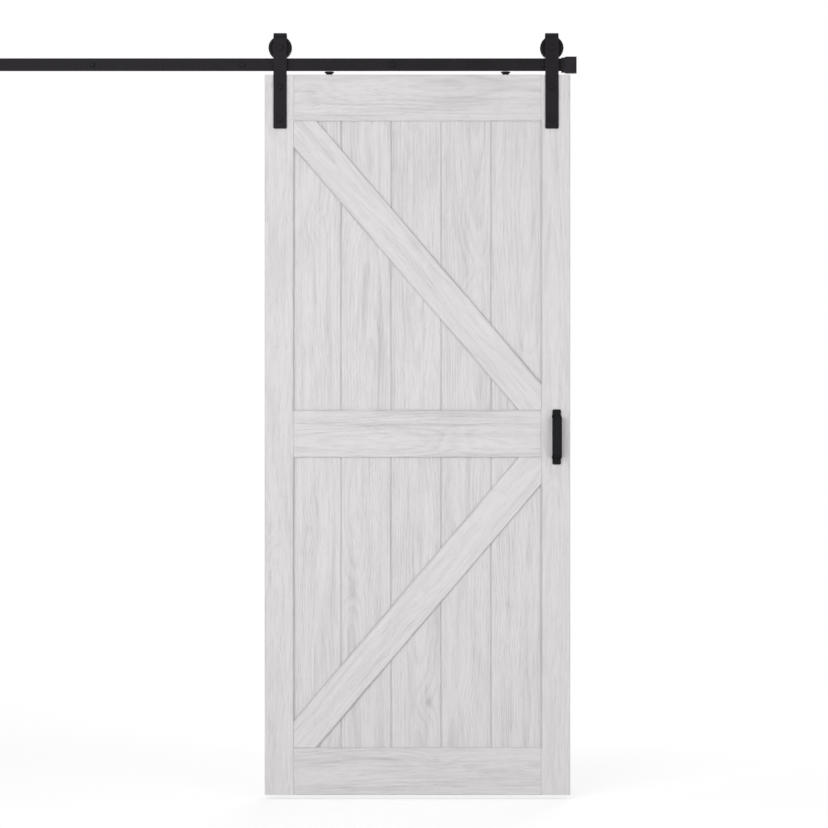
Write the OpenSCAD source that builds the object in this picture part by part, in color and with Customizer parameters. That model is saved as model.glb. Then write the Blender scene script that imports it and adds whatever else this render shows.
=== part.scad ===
// Sliding barn door: a K-braced plank door hung from a flat wall rail on two grooved wheels.
// X runs along the rail, Y points from the viewer into the wall, Z is up.
// The origin lies on the wall plane, on the axis of the middle wall bolt.

/* [Door leaf] */
// Width of the door leaf
door_w = 914; // [760:1:1060]
// Height of the door leaf
door_h = 2155; // [1950:1:2450]
// Thickness of the frame boards
door_t = 35; // [30:0.5:40]
// Width of each stile
stile_w = 87; // [80:1:120]
// Height of the top rail
top_rail_h = 139; // [110:1:180]
// Height of the middle rail
middle_rail_h = 142; // [110:1:180]
// Height of the bottom rail
bottom_rail_h = 142; // [110:1:180]
// Height of the middle rail's centre above the lower edge
middle_rail_z = 1081; // [900:1:1250]
// Chamfer along the edges of the frame boards
board_chamfer = 2; // [0.5:0.1:3]
// Width of the floor guide's groove in the lower edge
guide_groove_w = 9; // [6:0.5:12]
// Depth of the floor guide's groove
guide_groove_depth = 18; // [12:1:25]

/* [Panels and braces] */
// Width of the leftmost plank of each panel; the other four share the rest
first_plank_w = 141; // [100:1:160]
// Thickness of the planks
plank_t = 17; // [15:0.5:19]
// Chamfer along each plank joint
plank_chamfer = 2.2; // [1:0.1:4]
// Open joint between two planks
plank_joint = 0.4; // [0.2:0.1:1]
// Thickness of a plank's tongue
tongue_t = 6; // [4:0.5:8]
// Length of a plank's tongue
tongue_l = 7; // [4:0.5:10]
// Clearance round a tongue in its groove
tongue_clear = 0.3; // [0.1:0.1:0.6]
// Depth of the frame's grooves that hold the planks
dado_depth = 10; // [8:0.5:14]
// How far the planks reach into those grooves
plank_seat = 8; // [5:0.5:8]
// Clearance of planks and tenons in those grooves, on each side
dado_clear = 0.1; // [0.05:0.05:0.3]
// Width of each diagonal brace
brace_w = 105; // [80:1:130]
// Step from the frame's face down to the brace's face
brace_step = 1; // [0:0.5:3]
// Chamfer along the edges of the braces
brace_chamfer = 2; // [0.5:0.1:3]
// Gap between a brace's ends and the frame
brace_gap = 0.3; // [0.1:0.1:1]

/* [Frame joints] */
// Diameter of the dowels
dowel_d = 10; // [8:0.5:12]
// Length of the dowels
dowel_l = 50; // [40:1:56]
// Distance between the two dowels of a joint
dowel_pitch = 60; // [40:1:70]
// Clearance of a dowel in its hole, on the radius
dowel_clear = 0.1; // [0.05:0.05:0.2]

/* [Rail] */
// Length of the rail
rail_l = 2000; // [1960:10:2400]
// Height of the rail
rail_h = 38; // [34:1:45]
// Thickness of the rail
rail_t = 6; // [5:0.5:8]
// Chamfer along the rail's edges
rail_chamfer = 0.8; // [0.3:0.1:1.2]
// Distance from the wall to the rail's back
standoff_l = 38; // [34:1:60]
// Diameter of the standoffs
standoff_d = 22; // [18:1:24]
// Chamfer at the standoffs' ends
standoff_chamfer = 1; // [0.5:0.1:2]
// Distance between neighbouring wall bolts
wall_bolt_pitch = 450; // [400:10:470]
// Diameter of the wall bolts
wall_bolt_d = 8; // [6:0.5:9]
// Width across the flats of the wall bolts' heads
wall_bolt_flats = 13; // [11:0.5:15]
// Height of the wall bolts' heads
wall_bolt_head_h = 5.3; // [4:0.1:6]
// Diameter over the thread of the wall bolts
wall_thread_d = 7.5; // [5.5:0.1:8.5]
// How far the wall bolts reach into the wall
wall_bolt_tail = 50; // [30:1:80]
// Length of the wall bolts' points
wall_bolt_point = 6; // [4:0.5:8]
// Clearance of a wall bolt in the rail and standoff, on the radius
wall_bolt_clear = 0.3; // [0.1:0.05:0.5]
// Diameter of the wall bolts' washers
wall_washer_d = 20; // [17:0.5:22]
// Thickness of all washers
washer_t = 1.6; // [1:0.1:2]

/* [End stops] */
// Length of a stop block along the rail
stop_l = 37; // [30:1:50]
// Depth of a stop block, front to back
stop_depth = 24; // [20:1:26]
// Stop block above the rail
stop_over = 4.5; // [3:0.5:8]
// Stop block below the rail
stop_under = 7; // [6:0.5:10.5]
// Chamfer along a stop block's edges
stop_chamfer = 2; // [0.5:0.1:3]
// Length of the taper at a stop block's inner end
stop_nose = 7; // [3:0.5:10]
// How far that taper draws in above and below
stop_nose_drop = 2.5; // [1:0.1:3]
// Clearance between the rail and a stop block's slot
stop_clear = 0.15; // [0.1:0.05:0.4]
// Thickness of the rubber bumper on a stop block
bumper_t = 8; // [5:0.5:12]
// How far the bumper's outline stays inside the block's
bumper_inset = 2.7; // [1.2:0.1:3.2]
// Diameter of the set screws
set_screw_d = 6; // [5:0.5:8]
// Distance between the two set screws of a block
set_screw_pitch = 18; // [14:1:24]
// How far the set screws stay inside their block
set_screw_recess = 0.7; // [0.3:0.1:1.5]
// Width across the flats of the set screws' sockets
set_screw_socket = 3; // [2.5:0.5:4]

/* [Hangers] */
// Left hanger's centre from the door's left edge
left_hanger_inset = 46; // [30:1:60]
// Right hanger's centre from the door's right edge
right_hanger_inset = 55; // [30:1:60]
// Width of the hanger straps
strap_w = 40; // [36:1:50]
// Thickness of the hanger straps
strap_t = 5; // [4:0.5:6]
// Distance from the axle up to the strap's crown
strap_crown = 45; // [42:1:55]
// Distance that the front leg reaches below the door's top
strap_reach = 162; // [150:1:220]
// Distance that the back leg reaches below the axle
strap_back_reach = 20; // [14:1:24]
// Corner radius at the strap's lower end
strap_corner = 4; // [2:0.5:10]
// Chamfer along the strap's edges
strap_chamfer = 0.8; // [0.3:0.1:1.2]
// Upper strap bolt below the door's top
strap_bolt_drop = 38; // [26:1:45]
// Distance between a strap's two bolts
strap_bolt_pitch = 97; // [80:1:104]
// Diameter of the strap bolts
strap_bolt_d = 8; // [6:0.5:10]
// Width across the flats of the strap bolts' heads and nuts
strap_bolt_flats = 13; // [11:0.5:17]
// Height of the strap bolts' heads
strap_bolt_head_h = 5.3; // [4:0.1:7]
// Height of the strap bolts' nuts
strap_nut_h = 6.5; // [5:0.1:8]
// Diameter of the strap bolts' washers
strap_washer_d = 17; // [15:0.5:24]
// Clearance of bolts in their holes, on the radius
bolt_clear = 0.2; // [0.1:0.05:0.5]
// Bolt thread that shows past a nut
bolt_end = 3; // [1:0.5:4]
// Gap between the rail and the door's top
door_gap = 12; // [11:0.5:20]

/* [Wheels and bearings] */
// Outer diameter of the wheels
wheel_d = 70; // [60:1:80]
// Width of the wheels
wheel_w = 22; // [20:1:26]
// Depth of a wheel's groove
groove_depth = 4.5; // [3.5:0.5:6]
// Clearance between the rail's sides and the groove's floor
groove_side_clear = 0.7; // [0.4:0.1:1.2]
// How much further the groove opens on each side at its mouth
groove_flare = 1.6; // [1:0.1:2.5]
// Running gap between a groove's floor and the rail
groove_gap = 0.3; // [0.3:0.1:0.5]
// Depth of the recess in a wheel's sides
web_recess = 3; // [1:0.5:4]
// Width of the rim round that recess
rim_t = 7; // [6:0.5:8]
// Wall of the wheel's hub round the bearing
hub_wall = 4; // [3:0.5:5]
// Chamfer along a wheel's edges
wheel_chamfer = 1; // [0.5:0.1:2]
// Gap between a wheel's sides and the strap
wheel_side_gap = 3; // [2:0.5:4]
// Outer diameter of the bearings
bearing_d = 26; // [26:0.5:30]
// Width of the bearings
bearing_w = 8; // [8:0.5:9]
// Diameter of a bearing's balls
ball_d = 4; // [3.4:0.1:4]
// Balls in each bearing
ball_count = 7; // [5:1:8]
// Clearance between bearing and hub, on the radius
bearing_clear = 0.02; // [0.01:0.01:0.05]
// Gap between the balls and the race of the inner ring
race_gap = 0.3; // [0.3:0.05:0.4]
// Gap between the balls and the race of the outer ring, and round the retaining ring
race_clear = 0.05; // [0.03:0.01:0.1]
// Thickness of a bearing's retaining ring
retaining_t = 1.2; // [1:0.1:1.5]
// Depth of the retaining ring's groove in the hub
retaining_depth = 0.8; // [0.5:0.1:1]
// Radial width of the retaining ring
retaining_w = 2.6; // [2:0.1:3]

/* [Axles] */
// Diameter of the axle bolts
axle_d = 10; // [8:0.5:10]
// Clearance of an axle bolt in bushes, bearing and strap, on the radius
axle_clear = 0.05; // [0.02:0.01:0.1]
// Width across the flats of the axle bolts' heads and nuts
axle_flats = 17; // [15:0.5:19]
// Height of the axle bolts' heads
axle_head_h = 6.4; // [5:0.1:8]
// Height of the axle nuts
axle_nut_h = 8; // [6:0.1:9]
// Diameter of the bushes beside the bearings
bush_d = 15; // [13:0.5:16]

/* [Jump guards] */
// Jump guards' distance from the door's edges
jump_inset = 193; // [150:1:300]
// Diameter of a jump guard's disc
jump_d = 28; // [24:1:34]
// Thickness of a jump guard's disc
jump_t = 3.5; // [2:0.5:5]
// Diameter of a jump guard's foot where it stands on the door
jump_foot_d = 16; // [14:0.5:20]
// Diameter of that foot under the disc
jump_neck_d = 23; // [18:0.5:24]
// Gap between a jump guard and the rail
jump_gap = 2; // [1.5:0.5:3]
// Diameter of the jump guards' screws
jump_screw_d = 5; // [4:0.5:6]
// Length of the jump guards' screws
jump_screw_l = 50; // [40:1:70]

/* [Pull handle] */
// Handle's centre from the door's right edge
handle_inset = 41; // [30:1:45]
// Handle's centre above the door's lower edge
handle_z = 1071; // [900:1:1200]
// Length of the handle over its feet
handle_l = 165; // [150:1:260]
// Length of the grip
grip_l = 121; // [100:1:210]
// Width of the grip
grip_w = 29; // [24:0.5:32]
// Width of the feet
foot_w = 25.5; // [22:0.5:32]
// Distance from the door to the grip's front
handle_reach = 36; // [30:1:50]
// Thickness of the handle's strip
handle_t = 5; // [4:0.5:6]
// Radius inside the handle's bends
handle_bend = 4; // [2:0.5:5]
// Corner radius of the feet
foot_corner = 5; // [2:0.5:8]
// Diameter of the handle's screws
handle_screw_d = 4.5; // [4:0.5:5]
// Length of the handle's screws
handle_screw_l = 28; // [20:1:32]
// Chamfer along the grip's front edges
grip_chamfer = 1; // [0.3:0.1:1.5]
// Distance between the two screws of a foot
handle_screw_pitch = 13; // [11:0.5:14]
// Clearance of a wood screw in its hole, on the radius
screw_clear = 0.1; // [0.05:0.05:0.2]

/* [Position at rest] */
// How far the rail runs past the door's right edge
rail_past_door = 19; // [10:1:40]

/* [Hidden] */
$fn = 48;
eps = 0.01;

// Planks in each panel, bolts along the rail
plank_count = 5;
wall_bolt_count = 5;

// Depths, from the wall towards the viewer
rail_y = -standoff_l - rail_t / 2;
strap_gap = wheel_w + 2 * wheel_side_gap;
door_front_y = rail_y - strap_gap / 2;
door_back_y = door_front_y + door_t;
door_mid_y = door_front_y + door_t / 2;
strap_front_y = door_front_y - strap_t;
strap_back_y = rail_y + strap_gap / 2;
strap_rear_y = strap_back_y + strap_t;
rail_front_y = rail_y - rail_t / 2;

// Heights, from the rail's middle
roll_r = wheel_d / 2 - groove_depth;
axle_z = rail_h / 2 + roll_r + groove_gap;
door_top = -rail_h / 2 - door_gap;
door_bottom = door_top - door_h;
crown_z = axle_z + strap_crown;
strap_end_z = door_top - strap_reach;
middle_bottom = door_bottom + middle_rail_z - middle_rail_h / 2;
middle_top = middle_bottom + middle_rail_h;
lower_panel = [door_bottom + bottom_rail_h, middle_bottom];
upper_panel = [middle_top, door_top - top_rail_h];

// Places along the rail
door_right = rail_l / 2 - rail_past_door;
door_left = door_right - door_w;
panel_left = door_left + stile_w;
panel_right = door_right - stile_w;
panel_w = panel_right - panel_left;
plank_pitch = (panel_w - first_plank_w) / (plank_count - 1);
left_hanger_x = door_left + left_hanger_inset;
right_hanger_x = door_right - right_hanger_inset;
hanger_xs = [left_hanger_x, right_hanger_x];
jump_xs = [door_left + jump_inset, door_right - jump_inset];
handle_x = door_right - handle_inset;
wall_bolt_xs = [for (i = [0:wall_bolt_count - 1]) (i - (wall_bolt_count - 1) / 2) * wall_bolt_pitch];
stop_xs = [stop_l / 2 - rail_l / 2, rail_l / 2 - stop_l / 2];

// Sizes that follow from fits
dado_w = plank_t + 2 * dado_clear;
panel_front_y = door_mid_y - plank_t / 2;
brace_t = panel_front_y - door_front_y - brace_step;
wall_hole_r = wall_bolt_d / 2 + wall_bolt_clear;
strap_hole_r = strap_bolt_d / 2 + bolt_clear;
axle_hole_r = axle_d / 2 + axle_clear;
dowel_hole_r = dowel_d / 2 + dowel_clear;
ball_pitch_r = (bearing_d / 2 + axle_hole_r) / 2;
ring_land = 0.4 * ball_d;
set_screw_l = stop_under - set_screw_recess;
strap_bolt_zs = [door_top - strap_bolt_drop, door_top - strap_bolt_drop - strap_bolt_pitch];
foot_l = (handle_l - grip_l) / 2;
handle_screw_dz = handle_l / 2 - (foot_l - handle_bend) / 2;

// Colours
wood = [0.84, 0.83, 0.84];
black_steel = [0.18, 0.17, 0.19];
bright_steel = [0.72, 0.72, 0.74];
black_rubber = [0.09, 0.09, 0.09];
beech = [0.78, 0.65, 0.48];

// Turns a shape's own Z axis to +Y, with its origin at the given place
module along_y(x, y, z) {
  translate([x, y, z]) rotate([-90, 0, 0]) children();
}

// Carries a 2D shape drawn as (Y, Z) along X, centred on x
module section_along_x(x, length) {
  translate([x - length / 2, 0, 0]) rotate([90, 0, 90]) linear_extrude(length) children();
}

// Carries a 2D shape drawn as (X, Z) along Y, from y0 to y1
module outline_along_y(y0, y1) {
  translate([0, y1, 0]) rotate([90, 0, 0]) linear_extrude(y1 - y0) children();
}

// Rectangle with its corners cut at 45 degrees
module chamfered_rect(x0, y0, x1, y1, c) {
  polygon([
    [x0 + c, y0], [x1 - c, y0], [x1, y0 + c], [x1, y1 - c],
    [x1 - c, y1], [x0 + c, y1], [x0, y1 - c], [x0, y0 + c]
  ]);
}

// Square bar turned on its corner, which breaks an upright edge from z = 0 upwards
module edge_cut(chamfer, length) {
  side = chamfer * sqrt(2);
  rotate([0, 0, 45]) translate([-side / 2, -side / 2, 0]) cube([side, side, length]);
}

// Rectangle with round corners
module rounded_rect(x0, y0, x1, y1, r) {
  translate([x0 + r, y0]) square([x1 - x0 - 2 * r, y1 - y0]);
  translate([x0, y0 + r]) square([x1 - x0, y1 - y0 - 2 * r]);
  for (x = [x0 + r, x1 - r], y = [y0 + r, y1 - r]) translate([x, y]) circle(r);
}

// Quarter of a flat ring, in the quadrant of the signs sx and sy
module ring_quarter(r_in, r_out, sx, sy) {
  intersection() {
    difference() {
      circle(r_out);
      circle(r_in);
    }
    translate([min(sx, 0) * r_out, min(sy, 0) * r_out]) square(r_out);
  }
}

// Hexagon prism with its top corners turned off, as on a bolt head
module hex_head(flats, h) {
  corner_r = flats / sqrt(3);
  bevel = corner_r - flats / 2;
  intersection() {
    cylinder(r = corner_r, h = h, $fn = 6);
    union() {
      cylinder(r = corner_r, h = h - bevel);
      translate([0, 0, h - bevel]) cylinder(r1 = corner_r, r2 = flats / 2, h = bevel);
    }
  }
}

// Nut that stands on its flat face, with its upper corners turned off
module hex_nut(flats, h, hole_r) {
  difference() {
    hex_head(flats, h);
    translate([0, 0, -eps]) cylinder(r = hole_r, h = h + 2 * eps);
  }
}

// Hex bolt: the head stands on z = 0 upwards, the shank runs down
module hex_bolt(d, flats, head_h, length) {
  tip = d / 8;
  hex_head(flats, head_h);
  translate([0, 0, tip - length]) cylinder(d = d, h = length - tip + eps);
  translate([0, 0, -length]) cylinder(d1 = d - 2 * tip, d2 = d, h = tip);
}

module washer(d, hole_r) {
  difference() {
    cylinder(d = d, h = washer_t);
    translate([0, 0, -eps]) cylinder(r = hole_r, h = washer_t + 2 * eps);
  }
}

// Half section of a flat-headed wood screw or of its hole, wider than the screw by the given clearance
module flat_screw_section(d, length, clear) {
  r = d / 2 + clear;
  head_r = d + clear;
  head_rim = d / 10;
  head_h = 0.6 * d;
  point_l = d;
  polygon([
    [0, 0], [head_r, 0], [head_r, -head_rim], [r, -head_h],
    [r, point_l - length - clear], [0, -length - clear]
  ]);
}

// Cross recess for a driver, cut down from z = 0
module cross_recess(d) {
  arm = 1.1 * d;
  arm_w = 0.24 * d;
  depth = 0.35 * d;
  for (turn = [0, 90]) rotate([0, 0, turn]) translate([-arm / 2, -arm_w / 2, -depth])
    cube([arm, arm_w, depth + eps]);
}

// Flat-headed wood screw: its top lies on z = 0, its point looks down
module flat_screw(d, length) {
  difference() {
    rotate_extrude() flat_screw_section(d, length, 0);
    cross_recess(d);
  }
}

module flat_screw_hole(d, length) {
  rotate_extrude() flat_screw_section(d, length, screw_clear);
}

// RAIL, STANDOFFS AND WALL BOLTS

module rail() {
  color(black_steel) difference() {
    section_along_x(0, rail_l)
      chamfered_rect(rail_front_y, -rail_h / 2, rail_front_y + rail_t, rail_h / 2, rail_chamfer);
    for (x = wall_bolt_xs) along_y(x, rail_front_y - eps, 0) cylinder(r = wall_hole_r, h = rail_t + 2 * eps);
  }
}

module standoff(i) {
  r = standoff_d / 2;
  c = standoff_chamfer;
  color(black_steel) along_y(wall_bolt_xs[i - 1], -standoff_l, 0) rotate_extrude() polygon([
    [wall_hole_r, 0], [r - c, 0], [r, c], [r, standoff_l - c], [r - c, standoff_l], [wall_hole_r, standoff_l]
  ]);
}

module wall_bolts() {
  shank = washer_t + rail_t + standoff_l;
  thread_l = wall_bolt_tail - wall_bolt_point;
  color(black_steel) for (x = wall_bolt_xs) translate([x, rail_front_y - washer_t, 0]) rotate([90, 0, 0]) {
    hex_head(wall_bolt_flats, wall_bolt_head_h);
    translate([0, 0, -shank]) cylinder(d = wall_bolt_d, h = shank + eps);
    translate([0, 0, -shank - thread_l]) cylinder(d = wall_thread_d, h = thread_l + eps);
    translate([0, 0, -shank - wall_bolt_tail])
      cylinder(d1 = wall_thread_d / 5, d2 = wall_thread_d, h = wall_bolt_point);
  }
}

module wall_washers() {
  color(black_steel) for (x = wall_bolt_xs)
    along_y(x, rail_front_y - washer_t, 0) washer(wall_washer_d, wall_hole_r);
}

// END STOPS

// Section of a stop block or bumper, with the slot that the rail fills
module stop_section(inset) {
  difference() {
    chamfered_rect(
      rail_y - stop_depth / 2 + inset, -rail_h / 2 - stop_under + inset,
      rail_y + stop_depth / 2 - inset, rail_h / 2 + stop_over - inset, stop_chamfer
    );
    translate([rail_front_y - stop_clear, -rail_h / 2 - stop_clear])
      square([rail_t + 2 * stop_clear, rail_h + 2 * stop_clear]);
  }
}

module set_screw_places(x) {
  for (dx = [-set_screw_pitch / 2, set_screw_pitch / 2]) translate([x + dx, rail_y, -rail_h / 2]) children();
}

// Front view of the right stop block, centred on x = 0, with its inner end tapered
module stop_outline() {
  low = -rail_h / 2 - stop_under;
  high = rail_h / 2 + stop_over;
  inner = -stop_l / 2;
  polygon([
    [inner, low + stop_nose_drop], [inner + stop_nose, low], [stop_l / 2, low],
    [stop_l / 2, high], [inner + stop_nose, high], [inner, high - stop_nose_drop]
  ]);
}

module stop_block(side) {
  x = stop_xs[side];
  color(black_steel) difference() {
    intersection() {
      section_along_x(x, stop_l) stop_section(0);
      translate([x, 0, 0]) mirror([1 - side, 0, 0])
        outline_along_y(rail_y - stop_depth / 2, rail_y + stop_depth / 2) stop_outline();
    }
    set_screw_places(x) translate([0, 0, -stop_under - eps])
      cylinder(r = set_screw_d / 2 + screw_clear, h = stop_under + rail_t / 2);
  }
}

module stop_bumper(side) {
  inward = side == 0 ? 1 : -1;
  color(black_rubber) section_along_x(stop_xs[side] + inward * (stop_l + bumper_t) / 2, bumper_t)
    stop_section(bumper_inset);
}

module stop_set_screws() {
  socket_depth = set_screw_l / 2;
  color(black_steel) for (x = stop_xs) set_screw_places(x) translate([0, 0, -set_screw_l]) difference() {
    cylinder(d = set_screw_d, h = set_screw_l);
    translate([0, 0, -eps]) cylinder(d = set_screw_socket * 2 / sqrt(3), h = socket_depth, $fn = 6);
  }
}

// DOOR FRAME

// Plan of the left stile: outer edge on the left, grooved edge on the right
module stile_plan() {
  c = board_chamfer;
  groove_y = (door_t - dado_w) / 2;
  difference() {
    chamfered_rect(0, 0, stile_w, door_t, c);
    translate([stile_w - dado_depth, groove_y]) square([dado_depth + eps, dado_w]);
  }
}

// Heights of all frame rails: lower edge, upper edge, groove below, groove above
frame_rails = [
  [door_bottom, door_bottom + bottom_rail_h, false, true],
  [middle_bottom, middle_top, true, true],
  [door_top - top_rail_h, door_top, true, false]
];

// Places of the dowels at one end of every frame rail, along X at the given joint
module dowel_places(joint_x) {
  for (r = frame_rails, side = [-1, 1])
    translate([joint_x - dowel_l / 2, door_mid_y, (r[0] + r[1]) / 2 + side * dowel_pitch / 2])
      rotate([0, 90, 0]) children();
}

module dowel_holes(joint_x) {
  dowel_places(joint_x) translate([0, 0, -dowel_clear])
    cylinder(r = dowel_hole_r, h = dowel_l + 2 * dowel_clear);
}

module guide_groove() {
  translate([door_left - eps, door_mid_y - guide_groove_w / 2, door_bottom - eps])
    cube([door_w + 2 * eps, guide_groove_w, guide_groove_depth + eps]);
}

module strap_bolt_holes(x) {
  for (z = strap_bolt_zs) along_y(x, door_front_y - eps, z) cylinder(r = strap_hole_r, h = door_t + 2 * eps);
}

module left_stile() {
  color(wood) difference() {
    translate([door_left, door_front_y, door_bottom]) linear_extrude(door_h) stile_plan();
    dowel_holes(panel_left);
    strap_bolt_holes(left_hanger_x);
    guide_groove();
  }
}

module right_stile() {
  color(wood) difference() {
    translate([door_right, door_front_y, door_bottom]) linear_extrude(door_h) mirror([1, 0]) stile_plan();
    dowel_holes(panel_right);
    strap_bolt_holes(right_hanger_x);
    handle_screw_places() flat_screw_hole(handle_screw_d, handle_screw_l);
    guide_groove();
  }
}

// Section of a frame rail as (Y, Z), grooved where a panel stands against it
module frame_rail_section(r) {
  groove_y = door_mid_y - dado_w / 2;
  difference() {
    chamfered_rect(door_front_y, r[0], door_back_y, r[1], board_chamfer);
    if (r[2]) translate([groove_y, r[0] - eps]) square([dado_w, dado_depth + eps]);
    if (r[3]) translate([groove_y, r[1] - dado_depth]) square([dado_w, dado_depth + eps]);
  }
}

// A rail between the stiles, chamfered all round, with a stub tenon at each end
module frame_rail(r) {
  tenon_l = dado_depth - dado_clear;
  tenon_z0 = r[0] + (r[2] ? dado_depth : 0);
  tenon_z1 = r[1] - (r[3] ? dado_depth : 0);
  color(wood) difference() {
    union() {
      intersection() {
        section_along_x((panel_left + panel_right) / 2, panel_w) frame_rail_section(r);
        translate([0, 0, r[0]]) linear_extrude(r[1] - r[0])
          chamfered_rect(panel_left, door_front_y, panel_right, door_back_y, board_chamfer);
      }
      translate([panel_left - tenon_l, door_mid_y - plank_t / 2, tenon_z0])
        cube([panel_w + 2 * tenon_l, plank_t, tenon_z1 - tenon_z0]);
    }
    dowel_holes(panel_left);
    dowel_holes(panel_right);
  }
}

module bottom_rail() {
  color(wood) difference() {
    frame_rail(frame_rails[0]);
    guide_groove();
  }
}

module middle_rail() {
  frame_rail(frame_rails[1]);
}

module top_rail() {
  color(wood) difference() {
    frame_rail(frame_rails[2]);
    jump_screw_places() flat_screw_hole(jump_screw_d, jump_screw_l);
  }
}

module frame_dowels() {
  color(beech) for (x = [panel_left, panel_right]) dowel_places(x) cylinder(d = dowel_d, h = dowel_l);
}

// PLANKS AND BRACES

// Plan of plank k: tongue on its right, groove on its left, plain where it seats in a stile
module plank_plan(k) {
  x1 = panel_left + first_plank_w + (k - 1) * plank_pitch - plank_joint / 2;
  x0 = x1 + plank_joint - plank_pitch;
  y0 = panel_front_y;
  y1 = panel_front_y + plank_t;
  c = plank_chamfer;
  groove_t = tongue_t + 2 * tongue_clear;
  groove_x = x0 + tongue_l - plank_joint + tongue_clear;
  seat_left = panel_left - plank_seat;
  seat_right = panel_right + plank_seat;
  left_edge = k == 1 ? [[seat_left, y1], [seat_left, y0]] : [
    [x0 + c, y1], [x0, y1 - c], [x0, door_mid_y + groove_t / 2], [groove_x, door_mid_y + groove_t / 2],
    [groove_x, door_mid_y - groove_t / 2], [x0, door_mid_y - groove_t / 2], [x0, y0 + c], [x0 + c, y0]
  ];
  right_edge = k == plank_count ? [[seat_right, y0], [seat_right, y1]] : [
    [x1 - c, y0], [x1, y0 + c], [x1, door_mid_y - tongue_t / 2], [x1 + tongue_l, door_mid_y - tongue_t / 2],
    [x1 + tongue_l, door_mid_y + tongue_t / 2], [x1, door_mid_y + tongue_t / 2], [x1, y1 - c], [x1 - c, y1]
  ];
  polygon(concat(left_edge, right_edge));
}

module plank(panel, k) {
  color(wood) translate([0, 0, panel[0] - plank_seat])
    linear_extrude(panel[1] - panel[0] + 2 * plank_seat) plank_plan(k);
}

// Board along a panel's diagonal, rising to the right where rise is 1, cut to fit inside the frame
module brace(panel, rise) {
  panel_h = panel[1] - panel[0];
  reach = panel_w + panel_h;
  angle = atan2(rise * panel_h, panel_w);
  centre = [(panel_left + panel_right) / 2, 0, (panel[0] + panel[1]) / 2];
  half_w = brace_w / 2;
  face_y = panel_front_y - brace_t;
  c = brace_chamfer;
  color(wood) intersection() {
    translate(centre) rotate([0, -angle, 0]) section_along_x(0, reach) polygon([
      [panel_front_y, -half_w], [panel_front_y, half_w], [face_y + c, half_w],
      [face_y, half_w - c], [face_y, c - half_w], [face_y + c, -half_w]
    ]);
    translate([panel_left + brace_gap, face_y, panel[0] + brace_gap])
      cube([panel_w - 2 * brace_gap, brace_t, panel_h - 2 * brace_gap]);
  }
}

// HANGERS

// Side view of a hanger strap: front leg, bend over the wheel and short back leg
module strap_profile() {
  r_in = strap_gap / 2;
  r_out = r_in + strap_t;
  bend_z = crown_z - r_out;
  back_end = axle_z - strap_back_reach;
  translate([strap_front_y, strap_end_z]) square([strap_t, bend_z - strap_end_z]);
  translate([strap_back_y, back_end]) square([strap_t, bend_z - back_end]);
  translate([rail_y, bend_z]) {
    ring_quarter(r_in, r_out, -1, 1);
    ring_quarter(r_in, r_out, 1, 1);
  }
}

module hanger_strap(x) {
  color(black_steel) difference() {
    intersection() {
      section_along_x(x, strap_w) strap_profile();
      outline_along_y(strap_front_y, strap_rear_y)
        rounded_rect(x - strap_w / 2, strap_end_z, x + strap_w / 2, crown_z + strap_corner, strap_corner);
    }
    for (z = strap_bolt_zs) along_y(x, strap_front_y - eps, z)
      cylinder(r = strap_hole_r, h = strap_t + 2 * eps);
    along_y(x, strap_front_y - eps, axle_z)
      cylinder(r = axle_hole_r, h = strap_rear_y - strap_front_y + 2 * eps);
    for (side = [-1, 1]) translate([x + side * strap_w / 2, strap_front_y, strap_end_z - strap_corner])
      edge_cut(strap_chamfer, crown_z - strap_end_z + strap_corner);
  }
}

module strap_bolt_places() {
  for (x = hanger_xs, z = strap_bolt_zs) translate([x, 0, z]) rotate([90, 0, 0]) children();
}

module strap_bolts() {
  shank = washer_t + strap_t + door_t + washer_t + strap_nut_h + bolt_end;
  color(black_steel) strap_bolt_places() translate([0, 0, -strap_front_y + washer_t])
    hex_bolt(strap_bolt_d, strap_bolt_flats, strap_bolt_head_h, shank);
}

module strap_washers() {
  color(black_steel) strap_bolt_places() {
    translate([0, 0, -strap_front_y]) washer(strap_washer_d, strap_hole_r);
    translate([0, 0, -door_back_y - washer_t]) washer(strap_washer_d, strap_hole_r);
  }
}

module strap_nuts() {
  color(black_steel) strap_bolt_places() translate([0, 0, -door_back_y - washer_t]) mirror([0, 0, 1])
    hex_nut(strap_bolt_flats, strap_nut_h, strap_bolt_d / 2 + axle_clear);
}

// AXLES, WHEELS AND BEARINGS

module axle_bolt(x) {
  shank = 2 * strap_t + strap_gap + axle_nut_h + bolt_end;
  color(black_steel) translate([x, strap_front_y, axle_z]) rotate([90, 0, 0])
    hex_bolt(axle_d, axle_flats, axle_head_h, shank);
}

module axle_nut(x) {
  color(black_steel) along_y(x, strap_rear_y, axle_z) hex_nut(axle_flats, axle_nut_h, axle_hole_r);
}

module axle_bushes(x) {
  bush_l = (strap_gap - bearing_w) / 2;
  color(bright_steel) for (y = [door_front_y, strap_back_y - bush_l]) along_y(x, y, axle_z) difference() {
    cylinder(d = bush_d, h = bush_l);
    translate([0, 0, -eps]) cylinder(r = axle_hole_r, h = bush_l + 2 * eps);
  }
}

// Bearing ring between two radii, with its race cut round the balls' circle
module bearing_ring(x, r_in, r_out, race_r) {
  color(bright_steel) along_y(x, rail_y, axle_z) rotate_extrude() difference() {
    translate([r_in, -bearing_w / 2]) square([r_out - r_in, bearing_w]);
    translate([ball_pitch_r, 0]) circle(race_r);
  }
}

module bearing_inner_ring(x) {
  bearing_ring(x, axle_hole_r, ball_pitch_r - ring_land, ball_d / 2 + race_gap);
}

module bearing_outer_ring(x) {
  bearing_ring(x, ball_pitch_r + ring_land, bearing_d / 2, ball_d / 2 + race_clear);
}

module bearing_balls(x) {
  color(bright_steel) along_y(x, rail_y, axle_z) for (i = [0:ball_count - 1])
    rotate([0, 0, i * 360 / ball_count]) translate([ball_pitch_r, 0, 0]) sphere(d = ball_d);
}

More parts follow.
